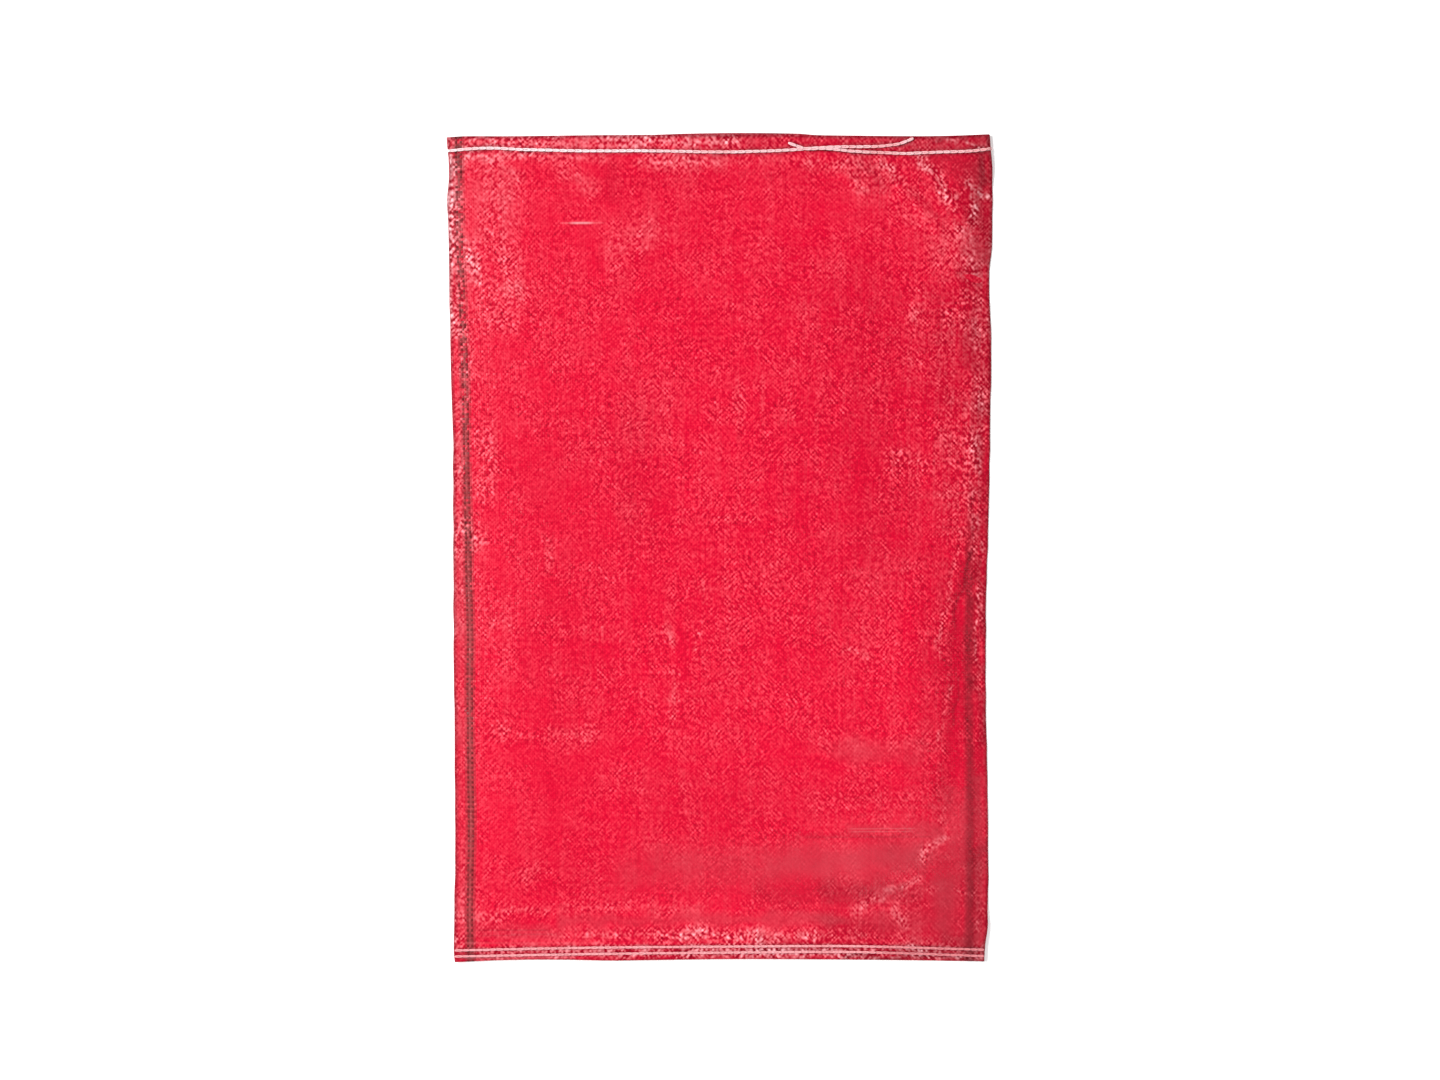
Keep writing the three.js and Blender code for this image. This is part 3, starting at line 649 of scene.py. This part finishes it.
# the mouth stitch: lead, right fold, back, left fold and tail in one row; the lead rides over the tail
def makeMouthStitch(material):
    rightY, leftY = mouthLead[-1, 1], mouthTail[0, 1]
    ends = [flatSpan(np.array(y)) for y in (rightY, leftY)]
    rightX, leftX = ends[0][0] + ends[0][1], ends[1][0] - ends[1][1]
    lead, leadOut = frontRow(mouthLead, 1, mouthLead[0, 0], rightX)
    lead[:, 2] += stitchLook["crossing"] * ramp(lead[:, 0], stitchLook["crossFrom"], stitchLook["crossTo"])
    tail, tailOut = frontRow(mouthTail, 1, leftX, mouthTail[-1, 0])
    rightFold, rightOut = foldRow(rightY, 1)
    leftFold, leftOut = foldRow(leftY, -1)
    share = np.linspace(0, 1, stitchLook["backPoints"])[:, None]
    back = np.array([rightX, rightY, 0.0]) * (1 - share) + np.array([leftX, leftY, 0.0]) * share
    back[:, 2] = backHeight(back[:, 1])
    backOut = np.broadcast_to([0.0, 0.0, -1.0], back.shape)
    points = np.concatenate([lead, rightFold, back, leftFold[::-1], tail])
    normals = np.concatenate([leadOut, rightOut, backOut, leftOut[::-1], tailOut])
    return chainStitch("mouthStitching", points, normals, stitchLook["mouth"], material)


# one row of the bottom stitch, on the front or under the flap
def makeBottomStitch(column, face, material):
    middle, half = flatSpan(np.array(turnY))
    points, normals = frontRow(bottomRows, column, middle - half, middle + half)
    if face == "back":
        points[:, 2] = sackCut["threadRoom"]
        normals = -normals
    name = "bottomStitching" + ("Upper" if column == 1 else "Lower") + face.capitalize()
    return chainStitch(name, points, normals, stitchLook["bottom"], material)


# a new material, its node tree and its shader
def newMaterial(name):
    material = bpy.data.materials.new(name)
    material.use_nodes = True
    tree = material.node_tree
    return material, tree, tree.nodes["Principled BSDF"]


# a socket given a value: a number or a colour as it is, another socket by a link
def feed(socket, value):
    if isinstance(value, (int, float, tuple)):
        socket.default_value = value
    else:
        socket.id_data.links.new(value, socket)


# outputs of a new node in the tree of the first value that is a socket, its inputs fed in their order;
# only the sockets that its settings leave in use count
def addNode(kind, *values, **settings):
    tree = next(value.id_data for value in values if not isinstance(value, (int, float, tuple)))
    node = tree.nodes.new(kind)
    for name, setting in settings.items():
        setattr(node, name, setting)
    for socket, value in zip([socket for socket in node.inputs if socket.enabled], values):
        feed(socket, value)
    return [socket for socket in node.outputs if socket.enabled]


# one operation on the values in their order
def calc(operation, *values, clamp=False):
    return addNode("ShaderNodeMath", *values, operation=operation, use_clamp=clamp)[0]


# all the values multiplied
def times(total, *others):
    for value in others:
        total = calc("MULTIPLY", total, value)
    return total


# all the values added up
def plus(total, *others):
    for value in others:
        total = calc("ADD", total, value)
    return total


# the first value less the second
def minus(first, second):
    return calc("SUBTRACT", first, second)


# one less the value, kept from 0 to 1 if asked
def oneLess(value, clamp=False):
    return calc("SUBTRACT", 1.0, value, clamp=clamp)


# two colours mixed by the factor, or multiplied
def blendColours(factor, first, second, kind="MIX"):
    return addNode("ShaderNodeMix", factor, first, second, data_type="RGBA", blend_type=kind)[0]


# one vector from two values, and a third that is a number
def joinValues(first, second, third=0.0):
    return addNode("ShaderNodeCombineXYZ", first, second, third)[0]


# a value moved by an S curve from one range to another, level outside
def stretch(value, fromLow, fromHigh, toLow=0.0, toHigh=1.0):
    bounds = (fromLow, fromHigh, toLow, toHigh)
    return addNode("ShaderNodeMapRange", value, *bounds, interpolation_type="SMOOTHSTEP")[0]


# a value stored on the points of the mesh
def readAttribute(tree, name):
    node = tree.nodes.new("ShaderNodeAttribute")
    node.attribute_name = name
    return node.outputs["Fac"]


# noise about 0.5, with finer layers on it where detail is given
def smoothNoise(vector, scale, detail=0.0):
    return addNode("ShaderNodeTexNoise", vector, scale, detail)[0]


swingGain = {"noise": 6.0, "cell": 2.4}  # gains of the two kinds of random swing
noiseDetail = 2.0  # finer layers on the noises that have them


# noise as a swing about 0: less 0.5, times its gain
def noiseSwing(vector, scale, detail=0.0):
    return times(minus(smoothNoise(vector, scale, detail), 0.5), swingGain["noise"])


# swing of noise drawn out one way: the two values, each by its scale, are its place
def drawnSwing(first, second, scales, detail=0.0):
    return noiseSwing(joinValues(times(first, scales[0]), times(second, scales[1])), 1.0, detail)


# random value from 0 to 1 for each cell of the weave, another one for each offset
def cellRandom(cell, offset):
    place = joinValues(cell["warp"], cell["weft"], offset)
    return addNode("ShaderNodeTexWhiteNoise", place, noise_dimensions="3D")[0]


# random swing about 0 for each cell: two random values added up, less 1, times its gain
def cellSwing(cell, offsets):
    pair = plus(*(cellRandom(cell, offset) for offset in offsets))
    return times(minus(pair, 1.0), swingGain["cell"])


# thin crease lines across the front, paler with painted highlight and scuff whitening, darker with painted
# crease shade: from x, to x, y, half width, paler by, darker by
creaseLightLines = [
    (-152, -132, 333.4, 2.0, 0.24, 0.0), (-163, -120, 333.4, 1.6, 0.06, 0.0),
    (-156, -130, 331.0, 1.4, 0.0, 0.14), (134, 200, -289.0, 1.2, 0.045, 0.0),
    (136, 198, -292.0, 1.2, 0.045, 0.0), (88, 218, -297.6, 1.6, 0.0, 0.14),
    (-266, -150, -422.6, 2.4, 0.05, 0.0), (-264, -120, -407.5, 2.2, 0.03, 0.0),
    (-250, -176, -394.2, 1.5, 0.0, 0.20), (-248, -205, -399.6, 1.3, 0.0, 0.13),
    (-215, -172, -398.4, 1.4, 0.0, 0.16),
]
creaseLineEnd = 5  # half the length over which a line fades at each end


# look of the woven tape: its red; a pinkish white mixed in for painted glints and sheen with some scuff
# whitening; a darker, greyer red where pressed, painted shade and sheen; painted shade in the slits
tapeLook = {
    "red": (0.625, 0.0010, 0.027, 1), "pressedShadeRed": (0.500, 0.008, 0.029, 1), "glintAndScuff": (0.90, 0.78, 0.80, 1),
    "glintAndWhitening": 0.0094, "pressedSheen": 0.013, "hazePower": 1.4, "hazeSwing": 1.02, "hazeMost": 0.60,
    "paleGain": 3.0, "paleWorn": 1.8, "paleCalm": 0.36, "paleTone": 1.3, "smoothCalm": 0.78,
    "toneSwing": 0.122, "toneLeast": 0.5, "slowTone": 0.16, "slitShade": 0.12, "slitDepth": 0.45,
    "cellShare": 0.20, "checkShare": 0.35, "checkSwing": 1.50, "checkSize": 0.30,
    "grainSize": 0.76, "grainShare": 0.85, "blotSize": 0.62, "blotShare": 1.85, "blotCalm": 0.30,
    "dashScales": (0.23, 0.76), "dashTurn": 0.11, "dashLean": -0.35, "dashRange": (0.44, 0.56),
    "dashShare": 0.91,
    # scales across and along, share on the warp, share on the weft
    "streak": ((0.30, 0.08), 0.22, 0.22), "band": ((0.11, 0.03), 0.32, 0.32),
    "thread": ((0.9, 0.012), 0.44, 0.18),
    "cloudSize": 18, "cloudShare": 0.36, "patchSize": 34, "patchRange": (0.36, 0.60, 0.62, 1.20),
    # heights in metres from and to, share before and after
    "calmLow": (-0.24, -0.14, 0.80, 1.0), "calmHigh": (0.25, 0.34, 1.0, 0.74),
    "archSlope": 0.12, "edgeSlope": 0.10, "edgePower": 5.0, "lean": 0.05, "relief": (0.3, 0.7),
    "roughness": (0.30, 0.40), "specular": 0.15,
    # offsets of the random values of the cells
    "toneCell": (7.0, 11.0), "acrossCell": (17.0, 19.0), "alongCell": (23.0, 29.0), "shineCell": 13.0,
}

# finish of the tracer tapes; a fade is heights in metres from and to, share before and after
tracerFinish = {
    "dark": (0.175, 0.013, 0.017, 1), "brown": (0.32, 0.040, 0.046, 1), "under": (0.33, 0.022, 0.032, 1),
    "right": (0.29, 0.010, 0.022, 1), "softShare": 0.58, "clean": 0.92, "match": 0.25,
    "leftFade": (-0.06, 0.28, 1.0, 0.62), "leftGone": 0.10, "goneEdge": 0.06, "goneCell": 31.0,
    "rightFade": (-0.06, 0.10, 1.0, 0.12), "rightBand": (0.4, 3.4, 1.0, 0.0), "rightShare": 0.80,
}


# plain weave: whole parts of the tape numbers give the cell, odd and even cells put weft or warp on top
def weaveCells(tree):
    tape = tree.nodes.new("ShaderNodeUVMap")
    tape.uv_map = "tapeMap"
    u, v, _ = addNode("ShaderNodeSeparateXYZ", tape.outputs[0])
    warp, weft = calc("FLOOR", u), calc("FLOOR", v)
    weftOver = calc("FLOORED_MODULO", plus(warp, weft), 2.0)
    return {
        "tape": tape.outputs[0], "u": u, "v": v, "warp": warp, "weft": weft,
        "weftOver": weftOver, "warpOver": oneLess(weftOver),
        "acrossWarp": minus(minus(u, warp), 0.5), "acrossWeft": minus(minus(v, weft), 0.5),
    }


# height of the tape on top: a cosine along it, times 1 less a high power of the way to its edges
def tapeArch(cell):
    def arch(along, across):
        edge = calc("POWER", calc("ABSOLUTE", times(across, 2.0)), tapeLook["edgePower"])
        return times(calc("COSINE", times(along, math.pi)), oneLess(edge))

    warpArch = times(cell["warpOver"], arch(cell["acrossWeft"], cell["acrossWarp"]))
    return plus(warpArch, times(cell["weftOver"], arch(cell["acrossWarp"], cell["acrossWeft"])))


# swing of the cells: random value, check, grain and diagonal dashes added up, less where pale, plus blots
# check: up where the warp is on top, down where the weft is, a cosine across each tape
def cellPattern(cell, glintAndScuff, sideways):
    look, tape = tapeLook, cell["tape"]
    cosines = [calc("COSINE", times(cell[name], math.pi)) for name in ("acrossWarp", "acrossWeft")]
    crossings = times(minus(cell["warpOver"], 0.5), 2.0, *cosines)
    contrast = times(noiseSwing(tape, look["checkSize"]), look["checkSwing"])
    check = times(crossings, plus(look["checkShare"], contrast))
    grain = times(noiseSwing(tape, look["grainSize"]), look["grainShare"])
    rising, falling = plus(cell["u"], cell["v"]), minus(cell["u"], cell["v"])
    leaning = plus(smoothNoise(tape, look["dashTurn"]), times(sideways, look["dashLean"]))
    leaning = stretch(leaning, *look["dashRange"])
    dashes = times(drawnSwing(rising, falling, look["dashScales"]), leaning)
    dashes = plus(dashes, times(drawnSwing(falling, rising, look["dashScales"]), oneLess(leaning)))
    own = times(cellSwing(cell, look["toneCell"]), look["cellShare"])
    pattern = plus(own, check, grain, times(dashes, look["dashShare"]))
    blots = times(noiseSwing(tape, look["blotSize"]), glintAndScuff, look["blotShare"])
    return plus(times(pattern, oneLess(times(glintAndScuff, look["blotCalm"]), clamp=True)), blots)


# slow swing: streaks and threads where the cloth is rough, bands and clouds everywhere, added up
def slowPattern(cell, place, rough):
    # noise drawn out along the warp and along the weft, each by its share
    def along(scales, warpShare, weftShare):
        onWarp = times(drawnSwing(cell["u"], cell["v"], scales, noiseDetail), warpShare)
        onWeft = times(drawnSwing(cell["u"], cell["v"], scales[::-1], noiseDetail), weftShare)
        return plus(onWarp, onWeft)

    look = tapeLook
    fine = times(plus(along(*look["streak"]), along(*look["thread"])), rough)
    clouds = times(noiseSwing(place, look["cloudSize"], noiseDetail), look["cloudShare"])
    return plus(fine, along(*look["band"]), clouds)


# crease lines, paler with painted highlight and scuff whitening, darker with painted shade: full on the
# middle, S curves down to the half width and past the two ends
def paintedCreaseLines(sideways, upwards):
    paler, darker = [], []
    for fromX, toX, y, half, palerBy, darkerBy in creaseLightLines:
        away = calc("ABSOLUTE", minus(upwards, y * mm))
        start = stretch(sideways, (fromX - creaseLineEnd) * mm, (fromX + creaseLineEnd) * mm)
        end = stretch(sideways, (toX - creaseLineEnd) * mm, (toX + creaseLineEnd) * mm, 1.0, 0.0)
        line = times(stretch(away, 0.0, half * mm, 1.0, 0.0), start, end)
        if palerBy:
            paler.append(times(line, palerBy))
        if darkerBy:
            darker.append(times(line, darkerBy))
    return plus(*paler), plus(*darker)


# tracer tapes over the red: on the left dark, brown, dark and a soft tape each side, where upwards more and
# more crossings are missing; on the right one soft band; the share of all of them comes back too
def tracerTapes(cell, colour, upwards):
    look = tracerFinish
    middle = math.floor(tapeCount["leftTracer"])
    kept = minus(stretch(upwards, *look["leftFade"]), cellRandom(cell, look["goneCell"]))
    kept = stretch(kept, -look["goneEdge"], look["goneEdge"], look["leftGone"], 1.0)

    # the tapes that are these steps from the middle one, where they are kept
    def tapes(*steps):
        on = [calc("COMPARE", cell["warp"], float(middle + step), look["match"]) for step in steps]
        return times(plus(*on), kept)

    soft, dark, brown = times(tapes(-2, 2), look["softShare"]), tapes(-1, 1), tapes(0)
    away = calc("ABSOLUTE", minus(cell["u"], middle + tapeCount["between"] + 0.5))
    band = times(stretch(away, *look["rightBand"]), look["rightShare"], stretch(upwards, *look["rightFade"]))
    darkUnder, darkOver = times(dark, cell["weftOver"]), times(dark, cell["warpOver"])
    layers = ((soft, "under"), (band, "right"), (darkUnder, "under"), (darkOver, "dark"), (brown, "brown"))
    for share, name in layers:
        colour = blendColours(share, colour, look[name])
    return colour, plus(soft, dark, brown, band)


# normal of the top tape: a sine along its arch, a fifth power at its edges and each crossing's own lean
def tapeNormal(cell, lively):
    def slope(along, over, under, offsets):
        rise = times(calc("SINE", times(along, math.pi)), look["archSlope"], over)
        double = times(along, 2.0)
        edge = times(double, double, double, double, double, look["edgeSlope"], under)
        return plus(rise, edge, times(cellSwing(cell, offsets), look["lean"]))

    look, tree = tapeLook, lively.id_data
    relief = plus(look["relief"][0], times(lively, look["relief"][1]))
    across = slope(cell["acrossWarp"], cell["weftOver"], cell["warpOver"], look["acrossCell"])
    along = slope(cell["acrossWeft"], cell["warpOver"], cell["weftOver"], look["alongCell"])
    tilt = joinValues(times(across, relief), times(along, relief))
    ways = {"vector_type": "VECTOR", "convert_from": "OBJECT", "convert_to": "WORLD"}
    tilt = addNode("ShaderNodeVectorTransform", tilt, **ways)[0]
    surface = tree.nodes.new("ShaderNodeNewGeometry").outputs["Normal"]
    lifted = addNode("ShaderNodeVectorMath", surface, tilt, operation="ADD")[0]
    return addNode("ShaderNodeVectorMath", lifted, operation="NORMALIZE")[0]


# red woven tape: the swing of each cell sets its tone and its whitish haze of painted glints, with painted
# shade, painted sheen, wear and tracers over them
def wovenTape():
    material, tree, shader = newMaterial("redWovenTape")
    look = tapeLook
    cell = weaveCells(tree)
    place = tree.nodes.new("ShaderNodeTexCoord").outputs["Object"]
    sideways, upwards, _ = addNode("ShaderNodeSeparateXYZ", place)
    # the three weights: painted glints with scuff whitening, pressed calm with a painted darker red and
    # sheen, and painted shade with some soil
    glintAndScuff, pressedShadeSheen, shadeAndSoil = (readAttribute(tree, name) for name in wearAndLightKinds)

    # the pattern is calm where the cloth is pressed smooth and towards both ends, and lively in patches
    pressedShadeSheen = times(pressedShadeSheen, oneLess(times(glintAndScuff, look["paleWorn"]), clamp=True))
    ends = [stretch(upwards, *look[name]) for name in ("calmLow", "calmHigh")]
    rough = times(oneLess(times(pressedShadeSheen, look["smoothCalm"])), *ends)
    lively = times(stretch(smoothNoise(place, look["patchSize"], noiseDetail), *look["patchRange"]), rough)
    pattern = times(cellPattern(cell, glintAndScuff, sideways), lively)
    slow = slowPattern(cell, place, rough)
    creaseGleamAndScuff, creaseShade = paintedCreaseLines(sideways, upwards)

    # tone: e to the power of the swing, with painted shade in the slits between tapes, where the painted
    # shade with some soil lies, and on the painted dark crease lines
    toned = times(pattern, calc("MAXIMUM", plus(1.0, times(glintAndScuff, look["paleTone"])), look["toneLeast"]))
    tone = calc("EXPONENT", times(plus(toned, times(slow, look["slowTone"])), look["toneSwing"]))
    slit = stretch(tapeArch(cell), 0.0, look["slitDepth"], 1.0, 0.0)
    tone = times(tone, oneLess(times(slit, lively, look["slitShade"])), oneLess(shadeAndSoil), oneLess(creaseShade))
    # where pressed the red is painted darker and greyer: painted shade and sheen
    colour = blendColours(pressedShadeSheen, look["red"], look["pressedShadeRed"])
    colour, traced = tracerTapes(cell, colour, upwards)
    tint = addNode("ShaderNodeCombineColor", tone, tone, tone)[0]
    colour = blendColours(1.0, colour, tint, "MULTIPLY")

    # haze: painted glints and sheen with some scuff whitening: e to the power of the pale weight, times a
    # power of 1 plus the swing, with painted sheen where pressed and the crease highlights; little of it on
    # the tracers
    calm = oneLess(times(glintAndScuff, look["paleCalm"]))
    lift = calc("MAXIMUM", plus(1.0, times(plus(pattern, slow), calm, look["hazeSwing"])), 0.0)
    glintAndWhitening = times(calc("EXPONENT", times(glintAndScuff, look["paleGain"])), look["glintAndWhitening"])
    glintAndWhitening = plus(times(glintAndWhitening, calc("POWER", lift, look["hazePower"])), times(pressedShadeSheen, look["pressedSheen"]))
    glintAndWhitening = times(glintAndWhitening, oneLess(times(traced, tracerFinish["clean"])))
    glintAndWhitening = calc("MINIMUM", plus(glintAndWhitening, creaseGleamAndScuff), look["hazeMost"])
    feed(shader.inputs["Base Color"], blendColours(glintAndWhitening, colour, look["glintAndScuff"]))

    low, high = look["roughness"]
    feed(shader.inputs["Roughness"], plus(low, times(cellRandom(cell, look["shineCell"]), high - low)))
    feed(shader.inputs["Specular IOR Level"], look["specular"])
    feed(shader.inputs["Normal"], tapeNormal(cell, lively))
    return material


# look of the sewing thread; right is from, to, and the share of the darker colour before and after, in metres
# across the sack: painted shade towards the sack's right side
threadLook = {
    "mouth": {"light": (0.86, 0.70, 0.72, 1), "shadeAndSoil": (0.82, 0.36, 0.37, 1),
              "right": (-0.06, 0.06, 0.0, 0.45)},
    "bottom": {"light": (0.86, 0.36, 0.38, 1), "shadeAndSoil": (0.62, 0.17, 0.19, 1),
               "right": (0.12, 0.20, 0.0, 0.62)},
    "fibreSize": 900, "fibreShare": 0.3, "soilSize": 24, "soilDetail": 3.0, "soilRange": (0.42, 0.7),
    "soilShare": 0.45, "relief": 0.0002, "roughness": 0.8,
}


# white thread with a pink cast: soil, fibres and a ramp to the right, painted shade, added up mix it towards
# the darker colour
def sewingThread(row):
    material, tree, shader = newMaterial(row + "SewingThread")
    look = threadLook
    place = tree.nodes.new("ShaderNodeTexCoord").outputs["Object"]
    sideways, _, _ = addNode("ShaderNodeSeparateXYZ", place)
    fibre = smoothNoise(place, look["fibreSize"], noiseDetail)
    soil = stretch(smoothNoise(place, look["soilSize"], look["soilDetail"]), *look["soilRange"])
    mix = plus(times(soil, look["soilShare"]), times(fibre, look["fibreShare"]))
    mix = calc("ADD", mix, stretch(sideways, *look[row]["right"]), clamp=True)
    feed(shader.inputs["Base Color"], blendColours(mix, look[row]["light"], look[row]["shadeAndSoil"]))
    feed(shader.inputs["Roughness"], look["roughness"])
    bump = tree.nodes.new("ShaderNodeBump")
    feed(bump.inputs["Distance"], look["relief"])
    feed(bump.inputs["Height"], fibre)
    feed(shader.inputs["Normal"], bump.outputs[0])
    return material


mouthThread, bottomThread = sewingThread("mouth"), sewingThread("bottom")
sackCloth = makeCloth(wovenTape())
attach(sackCloth, "root")
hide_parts("sack_body")

stitching = [(makeMouthStitch(mouthThread), "mouth_stitch")]
for column, row in ((1, "upper"), (2, "lower")):
    for face in ("front", "back"):
        stitching.append((makeBottomStitch(column, face, bottomThread), f"bottom_stitch_{row}_{face}"))
for piece, node in stitching:
    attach(piece, "root")
    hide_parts(node)
print("sewn", len(stitching), "rows")

# studio: a pale floor that glows a little, a low soft sun from the left, a weak fill and a dim room
studio = {
    "floorSize": 8.0, "floorColour": (0.92, 0.92, 0.92, 1), "floorRoughness": 0.9, "floorGlow": 0.30,
    "white": (1, 1, 1, 1), "room": 0.16,
    "sun": {"azimuth": 160.0, "elevation": 38.0, "strength": 5.4, "softness": 28.0},
    "fill": {"from": (1.8, -1.9, 2.2), "size": 2.2, "power": 46},
    "camera": {"height": 3.5, "centre": (0.0005, 0.0077), "across": 1.480, "clothTop": 0.012, "sensor": 36.0},
}


# a lamp turned to shine from (x, y, z) at the origin: tilt from the vertical, then turn about it
def aim(holder, x, y, z):
    holder.rotation_euler = (math.atan2(math.hypot(x, y), z), 0, math.atan2(y, x) + math.pi / 2)
    bpy.context.scene.collection.objects.link(holder)


# the floor as one quad, the two lamps aimed at the sack, and even light from the room
def makeStudio():
    half = studio["floorSize"] / 2 / mm
    corners = np.array([(-half, -half, 0), (half, -half, 0), (half, half, 0), (-half, half, 0)])
    paint, _, coat = newMaterial("paleFloor")
    feed(coat.inputs["Base Color"], studio["floorColour"])
    feed(coat.inputs["Roughness"], studio["floorRoughness"])
    feed(coat.inputs["Emission Color"], studio["white"])
    feed(coat.inputs["Emission Strength"], studio["floorGlow"])
    putMesh("studioFloor", corners, np.array([[0, 1, 2, 3]]), paint)

    sun = bpy.data.lights.new("sunLight", "SUN")
    sun.energy = studio["sun"]["strength"]
    sun.angle = math.radians(studio["sun"]["softness"])
    azimuth, elevation = (math.radians(studio["sun"][name]) for name in ("azimuth", "elevation"))
    aim(bpy.data.objects.new("sunLight", sun), math.cos(azimuth) * math.cos(elevation),
        math.sin(azimuth) * math.cos(elevation), math.sin(elevation))

    fill = bpy.data.lights.new("fillLight", "AREA")
    fill.shape = "DISK"
    fill.size = studio["fill"]["size"]
    fill.energy = studio["fill"]["power"]
    holder = bpy.data.objects.new("fillLight", fill)
    holder.location = studio["fill"]["from"]
    aim(holder, *studio["fill"]["from"])

    world = bpy.data.worlds.new("studioRoom")
    world.use_nodes = True
    room = world.node_tree.nodes["Background"]
    feed(room.inputs["Color"], studio["white"])
    feed(room.inputs["Strength"], studio["room"])
    bpy.context.scene.world = world


# straight down; the lens shows the given width at the height of the cloth's top
def makeCamera():
    look = studio["camera"]
    lens = bpy.data.cameras.new("viewFromAbove")
    lens.sensor_width = look["sensor"]
    lens.lens = look["sensor"] * (look["height"] - look["clothTop"]) / look["across"]
    camera = bpy.data.objects.new("viewFromAbove", lens)
    camera.location = (*look["centre"], look["height"])
    bpy.context.scene.collection.objects.link(camera)
    bpy.context.scene.camera = camera


makeStudio()
makeCamera()
bpy.context.scene.view_settings.view_transform = "Standard"
print("studio ready")
